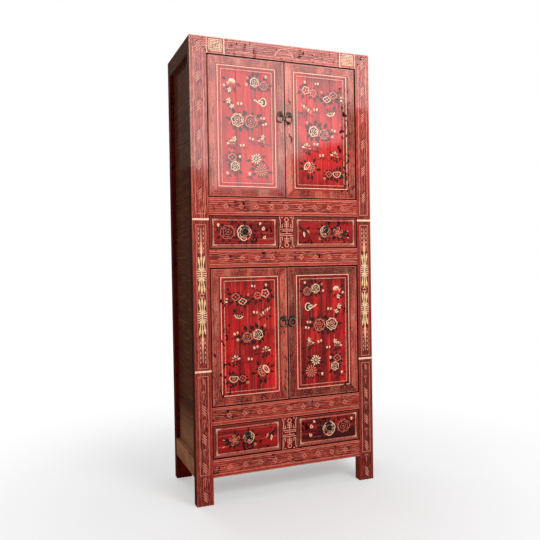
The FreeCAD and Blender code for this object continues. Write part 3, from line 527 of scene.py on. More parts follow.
def door_frame_finish(row, side, edges):
    """Duller red stiles and rails, mitred at the corners."""
    wear = LEAF_WEAR_SHARES[row, side]
    finish = Finish(f"{row} {side} door frame lacquer")
    kit = finish.kit
    vector, x, y, up = kit.place()
    left, right, bottom, top = edges
    where = inset_of(kit, x, up, edges)
    across = kit.ramp(x, left, right, wear.left, wear.right)
    dull = kit.blend(where["Level"], across, wear.rails)
    low_down = kit.ramp(up, bottom, top, 1.0, 0.2)
    chipped = kit.math("MULTIPLY_ADD", low_down, wear.chips, 0.2)
    sound = kit.mix(where["Level"], colour("stile_red"), colour("stile_bright"))
    base = kit.effect(lacquer_ground(), {
        "Place": vector, "Grain": stretched(kit, vector, "z", 80.0, 6.0), "Sound": sound,
        "Streak": colour("stile_dull"), "Pale": colour("comb_pale"), "Dark": colour("dark_wood_and_shade"),
        "Streaks": 0.75, "Patches": dull, "Chips": chipped})
    paint = kit.mix(kit.product(dull, 0.55), base["Color"], colour("stile_dull"))
    along = kit.blend(where["Level"], up, x)
    paint, lines = combed(kit, paint, along, where["Inset"], 0.006, 0.38, edges[0] * 9)
    paint = kit.mix(kit.product(where["Mitre"], 0.55), paint, colour("dark_wood_and_shade"))
    cloud = kit.noise(kit.times(vector, (22.0, 22.0, 9.0)), 1.0, 4.0, 0.6)
    paint = kit.mix(kit.ramp(cloud, 0.46, 0.62, 0.0, 0.45), paint, colour("comb_dark"))
    paint = kit.mix(kit.ramp(cloud, 0.34, 0.48, 0.40, 0.0), paint, colour("comb_pale"))
    paint = kit.mix(kit.ramp(dull, 0.8, 1.3, 0.0, 0.45), paint, colour("comb_dark"))
    speck = kit.ramp(kit.noise(vector, 240.0, 2.0), 0.56, 0.66)
    paint = kit.mix(kit.product(speck, 0.42), paint, colour("comb_pale"))
    dots = kit.ramp(kit.noise(vector, 120.0, 3.0, 0.65), 0.34, 0.44, 1.0, 0.0)
    paint = kit.mix(kit.product(dots, 0.55), paint, colour("comb_dark"))
    width = sizes().frame_width
    seam = kit.ramp(where["Inset"], width - 0.0022, width - 0.0008, 0.0, 0.7)
    paint = kit.mix(seam, paint, colour("comb_dark"))
    # Painted highlight: a pale line just inside the darkened edge, where the leaf's rounded edge catches
    # the light
    rim = kit.between(where["Inset"], 0.0022, 0.0042)
    paint = painted_line(kit, vector, paint, kit.product(rim, 0.7), "comb_pale", 0.9)
    # Painted shadow of the ring, dark on the frame below and to the left of it
    rubbed = ring_shadow(kit, x, up, f"{row}_{side}_door_pull_ring")
    paint = kit.mix(rubbed, paint, colour("dark_wood_and_shade"))
    # Painted shade: the front is darkened along the gap round the leaf, and the leaf's side faces are
    # painted dark
    edge = kit.ramp(where["Inset"], 0.0012, 0.0020, 0.9, 0.0)
    paint = kit.mix(edge, paint, colour("dark_wood_and_shade"))
    edge_side = kit.product(kit.ramp(where["Inset"], 0.0002, 0.0005, 1.0, 0.0),
                            behind_front(kit, y, 0.003))
    paint = kit.mix(edge_side, paint, colour("dark_wood_and_shade"))
    inside = behind_front(kit, y, LEAF_DEPTH, 0.0005)
    paint = kit.mix(inside, paint, stained_wood(kit, vector, "z"))
    height = kit.math("ADD", kit.product(lines, 0.4), base["Height"])
    worn = kit.highest(inside, edge_side, base["Worn"])
    return finish.lacquer(paint, height, worn)


# Where the pale rim line, a painted highlight, and the worn line at the foot of a drawer front start and
# end, in metres from its edges
DRAWER_RIM = (0.0036, 0.0052)
DRAWER_FOOT_LINE = (0.0060, 0.0125)


def drawer_front_finish(row, side, edges):
    """Dark red drawer front with a worn raised bead round the flowers."""
    z = sizes()
    finish = Finish(f"{row} {side} drawer front lacquer")
    kit = finish.kit
    vector, x, y, up = kit.place()
    inset = inset_of(kit, x, up, edges)["Inset"]
    patches = 1.6 if (row, side) == ("lower", "right") else 0.35
    base = ground(kit, vector, "x", "drawer_red", "drawer_worn", 0.6, patches, 0.8)
    past = z.drawer_bead_inset + z.drawer_bead_width
    # The dark margin outside the bead: partly the front's own band, partly painted shade of the gap beside
    # it
    margin = kit.ramp(inset, past, past + 0.001, 0.85, 0.0)
    paint = kit.mix(margin, base["Color"], colour("drawer_margin"))
    shade = kit.between(inset, past + 0.0020, past + 0.0045, 0.0012)
    paint = kit.mix(kit.product(shade, 0.5), paint, colour("drawer_worn"))
    proud = kit.between(inset, z.drawer_bead_inset - 0.0010, past + 0.0006, 0.0008)
    paint = painted_line(kit, vector, paint, kit.product(proud, 0.62), "drawer_bead", 1.1)
    crest = kit.between(inset, past - 0.0024, past - 0.0002)
    paint = painted_line(kit, vector, paint, kit.product(crest, 0.45), "blush", 1.0)
    left, right, bottom, top = edges
    sideways = kit.nearer(x, left, right)
    upward = kit.nearer(up, bottom, top)
    near = kit.product(kit.ramp(kit.math("ADD", sideways, upward), 0.034, 0.056, 1.0, 0.0), proud)
    paint = painted_line(kit, vector, paint, kit.product(near, 0.5), "cream", 0.7)
    lowest = kit.product(kit.between(kit.math("SUBTRACT", up, bottom), *DRAWER_FOOT_LINE),
                         kit.ramp(sideways, 0.0070, 0.0080))
    paint = painted_line(kit, vector, paint, kit.product(lowest, 0.62), "drawer_bead", 1.2)
    # Painted highlight: a pale line just inside the darkened edge of the front
    rim = kit.between(inset, *DRAWER_RIM)
    paint = painted_line(kit, vector, paint, kit.product(rim, 0.55), "drawer_bead", 1.0)
    # Painted shade: a dark band round the edge of the front, and dark side faces, for the shade of the gap
    # round the drawer
    edge = kit.ramp(inset, 0.0026, 0.0036, 0.95, 0.0)
    paint = kit.mix(edge, paint, colour("dark_wood_and_shade"))
    back = behind_front(kit, y, 0.0035)
    paint = kit.mix(back, paint, colour("dark_wood_and_shade"))
    inside = behind_front(kit, y, DRAWER_DEPTH, 0.0005)
    paint = kit.mix(inside, paint, stained_wood(kit, vector, "x"))
    return finish.lacquer(paint, base["Height"], kit.highest(back, base["Worn"]))


# Gaps under and over the painted outlines of a post in metres, from the highest to the lowest
# outline. The highest one runs up into the mitre
OUTLINE_GAPS = ((0.022, -0.020), (0.012, 0.020), (0.015, 0.018))


def front_post_finish(side):
    """Combed red face with painted outlines, and a dark lacquered outer side."""
    z = sizes()
    finish = Finish(f"{side} front post lacquer")
    kit = finish.kit
    vector, x, y, up = kit.place()
    wide = kit.math("ABSOLUTE", x)
    low_down = kit.ramp(up, 0.0, 0.62, 0.85, 0.30)
    base = ground(kit, vector, "z", "post_red", "post_worn", 0.8, low_down, 0.45)
    if side == "right":
        dull = kit.ramp(up, 0.8, 1.9, 1.05, 0.0)
    else:
        dull = kit.ramp(up, 0.7, 1.15, 0.5, 0.0)
    by_wheat = kit.between(up, z.lower_band_z, z.upper_band_z)
    dull = kit.highest(dull, kit.product(by_wheat, 0.85 if side == "right" else 0.30))
    sound = kit.mix(dull, base["Color"], colour("post_worn"))
    strength = kit.math("MULTIPLY_ADD", by_wheat, -0.25, 0.75)
    lines = kit.effect(combed_lines(), {
        "Along": up, "Across": wide, "Spacing": z.comb_spacing, "Wander": 0.016,
        "Seed": 3.0 if side == "left" else 8.0})
    paint = kit.mix(kit.product(lines["Hollow"], strength), sound, colour("comb_dark"))
    faint = kit.math("MULTIPLY_ADD", dull, -0.6, 1.0)
    paint = kit.mix(kit.product(lines["Line"], strength, faint), paint, colour("comb_pale"))
    reach = kit.nearer(wide, OPEN_X, OUTER_X)
    margin = kit.ramp(reach, z.line_inset - 0.004, z.line_inset - 0.002, 0.35, 0.0)
    paint = kit.mix(margin, paint, colour("post_red"))
    stops = (HEIGHT - z.top_rail_height, z.upper_band_z, z.lower_band_z, z.leg_height)
    outline = 0.0
    for i, (under, over) in enumerate(OUTLINE_GAPS):
        low = stops[i + 1] + under
        high = stops[i] - over
        tall = kit.between(up, low, high)
        upright = kit.product(kit.between(reach, z.line_inset, z.line_inset + z.line_width), tall)
        ends = kit.highest(kit.between(up, low, low + z.line_width),
                           kit.between(up, high - z.line_width, high))
        ends = kit.product(ends, kit.ramp(reach, z.line_inset - 0.0003, z.line_inset + 0.0003))
        outline = kit.highest(upright, ends, outline)
    paint = painted_line(kit, vector, paint, outline, "comb_pale", 0.6)
    # Painted highlight along the outer edge of the face, stronger higher up where the edge catches the
    # light
    face = kit.ramp(y, FRONT + 0.003, FRONT + 0.004, 1.0, 0.0)
    arris_highlight = kit.product(kit.ramp(wide, OUTER_X - z.arris_highlight_width, OUTER_X - z.arris_highlight_width + 0.001), face,
                        kit.ramp(up, 0.9, 1.75, 0.1, 0.9))
    paint = painted_line(kit, vector, paint, arris_highlight, "blush", 0.9)
    brown = ground(kit, vector, "z", "brown", "dark_wood_and_shade", 0.4, 0.3, 0.3, "brown")
    outside = kit.product(kit.ramp(wide, OUTER_X - 0.0004, OUTER_X - 0.0002),
                          behind_front(kit, y, 0.003, 0.0005))
    behind = kit.ramp(y, INNER_FRONT - 0.0005, INNER_FRONT - 0.0002)
    on_top = kit.product(kit.ramp(up, HEIGHT - 0.0006, HEIGHT - 0.0003),
                         behind_front(kit, y, 0.002))
    paint = kit.mix(kit.highest(outside, behind, on_top), paint, brown["Color"])
    # Painted shade: the inner side face of the post, in the gap beside the doors, is painted dark
    reveal = kit.product(kit.ramp(wide, OPEN_X + 0.0002, OPEN_X + 0.0004, 1.0, 0.0),
                         behind_front(kit, y, 0.001),
                         kit.ramp(up, z.leg_height, z.leg_height + 0.01))
    paint = kit.mix(reveal, paint, colour("dark_wood_and_shade"))
    worn = kit.highest(outside, behind, reveal, base["Worn"])
    return finish.lacquer(paint, kit.math("ADD", lines["Line"], base["Height"]), worn)


def brown_finish(name, along, pale, streaks=0.5, painted_floor_reflection=0.0):
    """Dark brown lacquer, worn paler in places, with a painted reflection of the floor that makes it paler
    towards the floor.
    """
    finish = Finish(name)
    kit = finish.kit
    vector, _, _, up = kit.place()
    base = ground(kit, vector, along, "brown", "brown_dark", streaks, 0.5, 0.35, "brown_pale")
    cloud = kit.noise(kit.times(vector, (9.0, 9.0, 14.0)), 1.0, 4.0)
    worn = kit.ramp(cloud, 0.35, 0.70, 0.6 * pale, pale)
    # Painted reflection of the floor: paler brown towards the floor
    foot = kit.ramp(up, 0.20, 0.42, painted_floor_reflection, 0.0)
    paint = kit.mix(kit.highest(worn, foot), base["Color"], colour("brown_pale"))
    return finish.surface(paint, BODY_ROUGHNESS, 0.0, SIDE_COAT, base["Height"])


def rear_post_finish(side):
    """Dark lacquer, with the old red on what shows of the face that looks forwards."""
    z = sizes()
    finish = Finish(f"{side} rear post lacquer")
    kit = finish.kit
    vector, x, y, up = kit.place()
    brown = ground(kit, vector, "z", "brown", "brown_dark", 0.5, 0.4, 0.5, "brown")
    red = ground(kit, vector, "z", "rear_red", "comb_dark", 0.8, 0.6, 0.8, "rear_red")
    reveal = BACK - (INNER_FRONT - FRONT)
    front_face = kit.ramp(y, reveal + 0.0002, reveal + 0.0006, 1.0, 0.0)
    outside = kit.ramp(kit.math("ABSOLUTE", x), PANEL_INSIDE, PANEL_INSIDE + 0.0005)
    foot = kit.ramp(up, z.leg_height - 0.0005, z.leg_height, 1.0, 0.0)
    front_face = kit.product(front_face, kit.highest(outside, foot))
    paint = kit.mix(front_face, brown["Color"], red["Color"])
    return finish.surface(paint, BODY_ROUGHNESS, 0.0, SIDE_COAT, brown["Height"])


def rail_finish(name, low, high, seed):
    """Combed red rail with a fine line near its top and bottom edges."""
    finish = Finish(name)
    kit = finish.kit
    vector, x, y, up = kit.place()
    base = ground(kit, vector, "x", "rail_red", "post_worn", 0.85, 0.40, 0.7)
    frieze = high == HEIGHT
    strength = 0.85 if low > LOWER_RAIL_TOP else 0.66
    paint, lines = combed(kit, base["Color"], x, up, 0.016, strength, seed)
    hem = kit.highest(kit.ramp(up, low + 0.011, low + 0.013, 0.6, 0.0),
                      kit.ramp(up, high - 0.0085, high - 0.007, 0.0, 0.6))
    paint = kit.mix(hem, paint, colour("rail_red"))
    wide = kit.math("ABSOLUTE", x)
    line_low = low + RAIL_LINE_RISE
    line_high = high - RAIL_LINE_DROP
    level = kit.highest(kit.between(up, line_high - RAIL_LINE, line_high),
                        kit.between(up, line_low, line_low + RAIL_LINE))
    if frieze:
        level = kit.product(level, kit.ramp(wide, FIELD_HALF - 0.001, FIELD_HALF, 1.0, 0.0))
        end = kit.product(kit.between(wide, FIELD_HALF - RAIL_LINE, FIELD_HALF),
                          kit.between(up, line_low, line_high))
        level = kit.highest(level, end)
    paint = painted_line(kit, vector, paint, level, "comb_pale", 0.6)
    # Painted highlight: a pale line along the top and the bottom edge, just inside the painted shade
    rim = kit.highest(kit.between(up, low + 0.0016, low + 0.0034),
                      kit.between(up, high - 0.0034, high - 0.0016))
    paint = painted_line(kit, vector, paint, rim, "comb_pale", 0.85)
    shadowed = kit.ramp(up, low + 0.0006, low + 0.0014, 0.85, 0.0)
    if not frieze:
        shadowed = kit.highest(shadowed, kit.ramp(up, high - 0.0014, high - 0.0006, 0.0, 0.85))
    paint = kit.mix(shadowed, paint, colour("dark_wood_and_shade"))
    seam = kit.ramp(wide, OPEN_X - 0.0009, OPEN_X - 0.0004, 0.0, 0.7)
    if frieze:
        slope = (OUTER_X - OPEN_X) / (high - low)
        edge = kit.math("MULTIPLY_ADD", kit.math("SUBTRACT", up, low), slope, OPEN_X)
        seam = kit.ramp(kit.math("SUBTRACT", edge, wide), 0.0004, 0.0014, 0.6, 0.0)
    paint = kit.mix(seam, paint, colour("dark_wood_and_shade"))
    # The faces behind the front: the frieze's take the brown lacquer, and the other rails' are painted
    # dark as shade in the gaps
    edge_side = behind_front(kit, y, 0.001)
    paint = kit.mix(edge_side, paint, colour("brown" if frieze else "dark_wood_and_shade"))
    worn = kit.highest(edge_side, base["Worn"])
    return finish.lacquer(paint, kit.math("ADD", lines, base["Height"]), worn)


def divider_finish():
    """Dark red ground of the uprights between the drawers."""
    finish = Finish("divider lacquer")
    kit = finish.kit
    vector, x, y, _ = kit.place()
    base = ground(kit, vector, "z", "divider_red", "drawer_worn", 0.7, 0.5, 0.7)
    rim = kit.ramp(kit.math("ABSOLUTE", x), DIVIDER_HALF - 0.003, DIVIDER_HALF - 0.0015, 0.0, 0.6)
    paint = painted_line(kit, vector, base["Color"], rim, "comb_pale", 0.9)
    # Painted shade: the side faces of the upright, in the gaps beside the drawers, are painted dark
    edge_side = behind_front(kit, y, 0.001)
    paint = kit.mix(edge_side, paint, colour("dark_wood_and_shade"))
    return finish.lacquer(paint, base["Height"], kit.highest(edge_side, base["Worn"]))


def bare_wood_finish(name, along):
    """Planed wood left bare inside the cabinet."""
    finish = Finish(name)
    kit = finish.kit
    vector = kit.place()[0]
    base = ground(kit, vector, along, "wood", "stain", 0.6, 0.5, 0.0, "wood", "stain")
    return finish.surface(base["Color"], 0.75, 0.2, 0.0, base["Height"])


def brass_finish(part, tone, rubbed):
    """Brass gone dark, rubbed bright where it is handled."""
    finish = Finish(f"{part} brass")
    kit = finish.kit
    vector, _, y, _ = kit.place()
    cloud = kit.ramp(kit.noise(vector, 240.0, 4.0, 0.6), 0.48, 0.66)
    proud = kit.ramp(y, FRONT - 0.0055, FRONT - 0.002, 1.0, 0.2)
    rub = kit.product(cloud, proud, rubbed)
    paint = kit.mix(rub, colour(tone), colour("brass_bright"))
    rough = kit.math("MULTIPLY_ADD", rub, -0.15, 0.42)
    pits = kit.noise(vector, 900.0, 3.0)
    finish.surface(paint, rough, 0.3, 0.0, pits, 0.00008)
    finish.shader.inputs["Metallic"].default_value = 0.75
    return finish.material


def paint_finish(name):
    """A raised paint, brushed on and rubbed through to what lies under it."""
    finish = Finish(f"{name} paint")
    kit = finish.kit
    vector = kit.place()[0]
    dark = name in ("leaf", "wine")
    worn = kit.effect(worn_paint(), {
        "Place": vector, "Paint": colour(name), "Under": colour("wine" if dark else "field_red"),
        "Wear": 0.3 if dark else 0.5})
    return finish.lacquer(worn["Color"], worn["Sound"])


PAINTS = {}


def paint_material(name):
    """The material of a paint, made once."""
    if name not in PAINTS:
        PAINTS[name] = paint_finish(name)
    return PAINTS[name]


def dress(nodes, material):
    """Gives CAD nodes their finish."""
    for name in nodes:
        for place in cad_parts[name].material_slots:
            place.material = material


# Painted ornament. Outlines are in millimetres across and up from the middle of a motif.

def turned(points, degrees, shift=(0.0, 0.0)):
    angle = math.radians(degrees)
    c = math.cos(angle)
    s = math.sin(angle)
    return [(shift[0] + u * c - v * s, shift[1] + u * s + v * c) for u, v in points]


def spot(degrees, reach, centre=(0.0, 0.0)):
    """The point at an angle and a distance from a centre."""
    return turned([(reach, 0)], degrees, centre)[0]


def scaled(points, factor, about):
    return [(about[0] + factor * (u - about[0]), about[1] + factor * (v - about[1]))
            for u, v in points]


def oval(half_long, half_wide, centre=(0.0, 0.0), turn=0.0, count=8):
    points = []
    for i in range(count):
        angle = 2 * math.pi * i / count
        points.append((half_long * math.cos(angle), half_wide * math.sin(angle)))
    return turned(points, turn, centre)


def lobed(radius, lobes, depth, centre=(0.0, 0.0), start=90.0):
    """A flower's outline with rounded lobes."""
    points = []
    for i in range(2 * lobes):
        reach = radius * (1 - depth) if i % 2 else radius
        points.append(spot(start + 180 * i / lobes, reach, centre))
    return points


def band(points, width, end_width=None):
    """A brush line along some points, narrowing to its end."""
    tip = width if end_width is None else end_width
    left, right = [], []
    last = len(points) - 1
    for i, (u, v) in enumerate(points):
        before = points[max(i - 1, 0)]
        after = points[min(i + 1, last)]
        run = math.hypot(after[0] - before[0], after[1] - before[1])
        half = (width + (tip - width) * i / last) / 2
        side_u = -(after[1] - before[1]) / run * half
        side_v = (after[0] - before[0]) / run * half
        left.append((u + side_u, v + side_v))
        right.append((u - side_u, v - side_v))
    return left + right[::-1]


def bar(u0, v0, u1, v1):
    """A straight-edged stroke between two corners."""
    return [(u0, v0), (u1, v0), (u1, v1), (u0, v1)]


def frond(degrees, length, breadth, curl=0.0, root=(0.0, 0.0)):
    """A leaf with one long point and two short ones."""
    half = breadth / 2
    points = [(0, 0), (0.30 * length, -0.40 * half), (0.50 * length, -1.2 * half + 0.3 * curl),
              (0.60 * length, -0.80 * half + 0.4 * curl), (length, curl),
              (0.66 * length, 0.85 * half + 0.5 * curl), (0.46 * length, 1.2 * half + 0.3 * curl),
              (0.28 * length, 0.40 * half)]
    return turned(points, degrees, root)


class Motif:
    """Brush strokes of one ornament, each laid over the ones before it."""

    def __init__(self):
        self.strokes = []

    def stroke(self, name, points, sharp=()):
        """A rounded outline, with sharp corners at the given points."""
        self.strokes.append((name, points, set(sharp)))

    def slab(self, name, points):
        """A straight-edged outline."""
        self.strokes.append((name, points, set(range(len(points)))))

    def dash(self, name, degrees, length, breadth, curl, root):
        """A brush stroke with two sharp ends."""
        half = breadth / 2
        points = [(0, 0), (0.4 * length, -half + 0.6 * curl), (length, curl),
                  (0.4 * length, half + 0.6 * curl)]
        self.stroke(name, turned(points, degrees, root), (0, 2))

    def petal(self, name, degrees, root, reach, breadth, centre=(0.0, 0.0)):
        """A petal that points away from a flower's centre."""
        half = breadth / 2
        run = reach - root
        points = [(root, 0), (root + 0.45 * run, -0.85 * half), (root + 0.8 * run, -half),
                  (reach, 0), (root + 0.8 * run, half), (root + 0.45 * run, 0.85 * half)]
        self.stroke(name, turned(points, degrees, centre))

    def leaf(self, degrees, reach, length, breadth, centre=(0.0, 0.0)):
        curl = 3.0 if round(degrees / 30) % 2 else -3.0
        root = spot(degrees, reach, centre)
        self.stroke("leaf", frond(degrees, length, breadth, curl, root), (0, 2, 4, 6))

    def leaves(self, angles, reach, length, breadth, centre=(0.0, 0.0)):
        for i, degrees in enumerate(angles):
            uneven = 1 + 0.30 * math.sin(2.3 * i + degrees)
            self.leaf(degrees, reach * uneven ** 0.5, length * uneven, breadth * uneven ** 0.5, centre)

    def stem(self, points, width=2.2):
        self.stroke("leaf", band(points, width, 0.9))

    def petals(self, name, angles, root, reach, breadth):
        for degrees in angles:
            self.petal(name, degrees, root, reach, breadth)

    def drop(self, name, degrees, length, centre):
        """A bud with a small dark cup."""
        self.petal("leaf", degrees + 180, 0, 0.55 * length, 0.5 * length, centre)
        self.petal(name, degrees, -0.3 * length, 0.7 * length, 0.72 * length, centre)


BLOSSOM_RADIUS = 17.5


def add_blossom(m, rim, inside, lobes):
    """A pale outline, a darker inside and a star with a dot at its heart."""
    radius = BLOSSOM_RADIUS
    m.stroke(rim, lobed(radius, lobes, 0.15))
    m.stroke(inside, lobed(radius - 2.7, lobes, 0.17))
    step = 360 / lobes
    for i in range(lobes):
        away = 90 + step * i
        m.petal("wine", away, 0.08 * radius, 0.62 * radius, 0.34 * radius)
        crease = away + step / 2
        m.dash(rim, crease, 0.42 * radius, 2.0, 0, spot(crease, 0.40 * radius))
    m.stroke(rim, oval(0.18 * radius, 0.15 * radius))


# Curved strokes inside a peony: share of its radius, first and last angle
PEONY_CURVES = ((0.66, 50, 215), (0.72, -95, 25), (0.38, 150, 320), (0.36, -15, 110))
PEONY_LINE = 2.2


def add_peony(m, rim, fills, radius, lobes, start=90.0):
    """A full flower drawn in pale curved lines round a heart off its middle."""
    outer, inner = fills
    line = PEONY_LINE
    m.stroke(rim, lobed(radius, lobes, 0.14, start=start))
    m.stroke(outer, lobed(radius - line - 0.3, lobes, 0.16, start=start))
    m.stroke(inner, lobed(0.56 * radius, 5, 0.2, start=start + 20))
    heart = spot(start - 50, 0.08 * radius)
    for reach, first, last in PEONY_CURVES:
        points = []
        for i in range(6):
            away = reach * radius * (1 + 0.09 * math.sin(2.2 * i))
            points.append(spot(start + first + (last - first) * i / 5, away, heart))
        m.stroke(rim, band(points, line, 0.6 * line))
    for degrees in (5, 75, 150, 215, 290):
        root = spot(start + degrees, 0.62 * radius)
        m.dash(rim, start + degrees + 12, 0.30 * radius, line, 1.5, root)
    m.stroke(rim, oval(0.12 * radius, 0.09 * radius, heart, start))


def squashed(m, share):
    """The same strokes, lower."""
    m.strokes = [(name, [(u, share * v) for u, v in points], sharp) for name, points, sharp in m.strokes]
    return m


def blossom(rim, inside, angles, squash=1.0, lobes=5):
    """A small open flower on a tuft of leaves."""
    m = Motif()
    m.leaves(angles, 0.62 * BLOSSOM_RADIUS, 25, 12)
    add_blossom(m, rim, inside, lobes)
    return squashed(m, squash)


def peony(rim, fills, radius, lobes, angles=(12, 55, 100, 145, 188, 225, 262, 298, 336)):
    """A peony on a ring of leaves."""
    m = Motif()
    m.leaves(angles, 0.72 * radius, 27, 13.5)
    add_peony(m, rim, fills, radius, lobes)
    return m


def chrysanthemum(rim, radius):
    """A flower of many narrow petals with dark gaps between them."""
    m = Motif()
    m.leaves((165, 200, 235, 270, 305, 342), 0.72 * radius, 23, 10)
    m.stroke("wine", oval(0.80 * radius, 0.76 * radius))
    for i in range(11):
        reach = radius * (1.0 if i % 2 else 0.84)
        m.petal(rim, 90 + 360 * i / 11, 0.38 * radius, reach, 0.22 * radius)
    m.stroke("wine", oval(0.38 * radius, 0.36 * radius))
    m.petals(rim, (30, 102, 174, 246, 318), 0.05 * radius, 0.30 * radius, 0.13 * radius)
    return m


def dull_chrysanthemum(rim, radius):
    """A darker flower of thin petals."""
    m = Motif()
    m.leaves((150, 188, 222, 256, 290, 324, 0, 38), 0.78 * radius, 23, 11)
    m.stroke("field_worn", lobed(radius, 8, 0.1))
    for i in range(13):
        m.petal(rim, 90 + 360 * i / 13, 0.46 * radius, 1.02 * radius, 0.16 * radius)
    for i in range(8):
        m.petal(rim, 360 * i / 8, 0.12 * radius, 0.42 * radius, 0.12 * radius)
    return m


def butterfly():
    """A butterfly with one ringed wing raised and its body stretched out."""
    m = Motif()
    m.stroke("cream", oval(18, 14, (-11, 2), 84))
    m.stroke("leaf", oval(14.2, 10.4, (-10.2, 2), 84))
    m.stroke("cream", oval(7.0, 4.4, (-6.6, 1), 84))
    m.stroke("wine", oval(3.4, 1.9, (-6.2, 1), 84))
    m.stroke("leaf", [(2, 5), (7, 12), (12, 8), (9, 0), (1, -2)], (0,))
    m.stroke("cream", [(4, 6), (8, 11), (11, 7), (7, 2)])
    m.stroke("cream", [(-6, -9), (8, -5), (25, 4.5), (32, 8), (31, 11), (24, 9), (8, -0.5), (-4, -5)])
    m.stem([(-18, -13), (-23, -18), (-29, -18)])
    m.stem([(32, 10), (37, 14)], 1.6)
    return m


def folded_butterfly():
    """A butterfly at rest, its wing a crescent under dark stripes."""
    m = Motif()
    m.leaves((150, 118, 86), 2, 22, 8, (-13, 5))
    m.leaf(30, 9, 20, 8)
    m.stroke("wine", [(-17, 6), (-12, -6), (1, -12), (15, -9), (20, 3), (8, 3), (-4, 9)], (0, 4))
    crescent = [(-20, 6), (-14, -8), (1, -15), (17, -11), (23, 3), (15, -6.5), (1, -11.5), (-11, -5)]
    m.stroke("cream", crescent, (0, 4))
    for i in range(4):
        m.dash("cream", 118 - 12 * i, 16 - 2.6 * i, 3.0, 1, (-10 + 7 * i, -7))
    m.stem([(18, -4), (27, 0), (26, 7)])
    return m


def spray(first, second):
    """A loose cluster of light petals on a bent dark stem."""
    m = Motif()
    m.stem([(-44, -18), (-26, -12), (-10, -6), (6, -8)], 2.6)
    m.stem([(4, -4), (18, -14), (34, -17)], 2.4)
    m.leaves((212, 250, 288, 330), 7, 19, 9, (1, -2))
    m.leaf(36, 12, 15, 7)
    for i, degrees in enumerate((62, 104, 146, 20, 196)):
        grow = 1 + 0.14 * math.sin(3.1 * i)
        m.petal("leaf", degrees, 5, 19.5 * grow, 9.5, (1, 0))
        m.petal(first if i % 2 else second, degrees, 7, 18.5 * grow, 7.0, (1, 0))
    m.stroke(second, oval(3.0, 2.6, (1, 0)))
    m.stroke("wine", oval(1.3, 1.3, (1, 0)))
    return m


def trail(first, second):
    """Light petals side by side along a slanting twig."""
    m = Motif()
    m.stem([(-34, -20), (-18, -16), (-2, -12), (14, -12), (32, -22)], 2.6)
    m.stem([(-20, 8), (-6, 17), (10, 20), (24, 17)], 2.2)
    m.leaves((205, 262, 318), 4, 19, 7, (2, -8))
    for i in range(5):
        root = (-16 + 8 * i, -10 + 4.6 * i)
        degrees = 118 - 16 * i
        m.petal("leaf", degrees, -2, 14.5, 8.6, root)
        m.petal(first if i % 2 else second, degrees, 0, 13.5, 6.6, root)
    return m


def buds(first, second):
    """Two light buds side by side on a thin stem."""
    m = Motif()
    m.stem([(-26, -15), (-14, -9), (-2, -9), (12, -14), (24, -13)], 1.8)
    m.leaves((215, 330), 2, 12, 5, (0, -8))
    m.drop(first, 104, 13, (-6, 0))
    m.drop(second, 72, 13, (7, 0))
    return m


def bud(name):
    """One bud with two small leaves."""
    m = Motif()
    m.leaves((200, 250, 318), 1, 17, 8, (0, -5))
    m.drop(name, 90, 16, (0, 0))
    m.stroke("wine", oval(1.4, 2.0, (0, 2)))
    return m


def ring_bud(name):
    """A small open bud, drawn as a ring."""
    m = Motif()
    m.leaves((250,), 5, 9, 5)
    m.stroke(name, oval(7, 6.4))
    m.stroke("field_red", oval(3.6, 3.2, (0.6, 0.4)))
    m.dash(name, 60, 9, 4, 0, (2, 2))
    return m


def white_flower():
    """A small flower of uneven cream petals."""
    m = Motif()
    m.leaves((205, 262, 335), 8, 17, 8.5)
    m.stroke("leaf", oval(7.5, 7))
    for i, degrees in enumerate((28, 98, 168, 238, 305)):
        reach = 11 + 2 * math.sin(2.1 * i)
        m.petal("leaf", degrees, 1, reach + 1.2, 8.2)
        m.petal("cream", degrees, 2.2, reach, 6.4)
    m.stroke("pink", oval(1.9, 1.6))
    return m


def cup_flower():
    """A half-open cream flower with small orange petals at its side."""
    m = Motif()
    m.leaves((338, 18, 298, 252, 200), 15, 21, 10)
    m.stroke("leaf", [(-17, -7), (-16, 8), (-4, 14), (12, 10), (14, -2), (4, -11), (-8, -12)])
    m.stroke("cream", [(-15, -5), (-14, 7), (-4, 12), (10, 9), (11, -1), (2, 1), (-6, -3)])
    m.stroke("orange", [(-13, -6), (-6, -2), (2, 2), (10, -2), (2, -9), (-8, -10)])
    m.petals("orange", (322, 350), 10, 23, 7)
    m.petals("cream", (336,), 11, 21, 2.6)
    return m


def ring_flower():
    """A tilted cream ring with pink petals at its side."""
    m = Motif()
    m.leaves((66, 24, 342, 300), 15, 22, 10, (4, 2))
    m.leaves((128, 160, 192, 224, 256, 285), 22, 27, 12, (-6, -4))
    m.stem([(2, -24), (14, -38), (28, -36), (30, -22)])
    for degrees in (125, 155, 185, 215, 245, 275):
        m.petal("pink", degrees, 6, 27, 10.5, (-5, -1))
        m.petal("wine", degrees, 10, 23.5, 5.4, (-5, -1))
    outline = oval(21, 11.5, (7, 5), -50, 10)
    m.stroke("cream", outline)
    m.stroke("field_red", scaled(outline, 0.70, (7, 5)))
    m.stroke("wine", scaled(outline, 0.45, (7, 5)))
    for i in range(-2, 3):
        m.stroke("cream", oval(1.7, 1.7, spot(-50, 5.0 * i, (7, 5))))
    return m


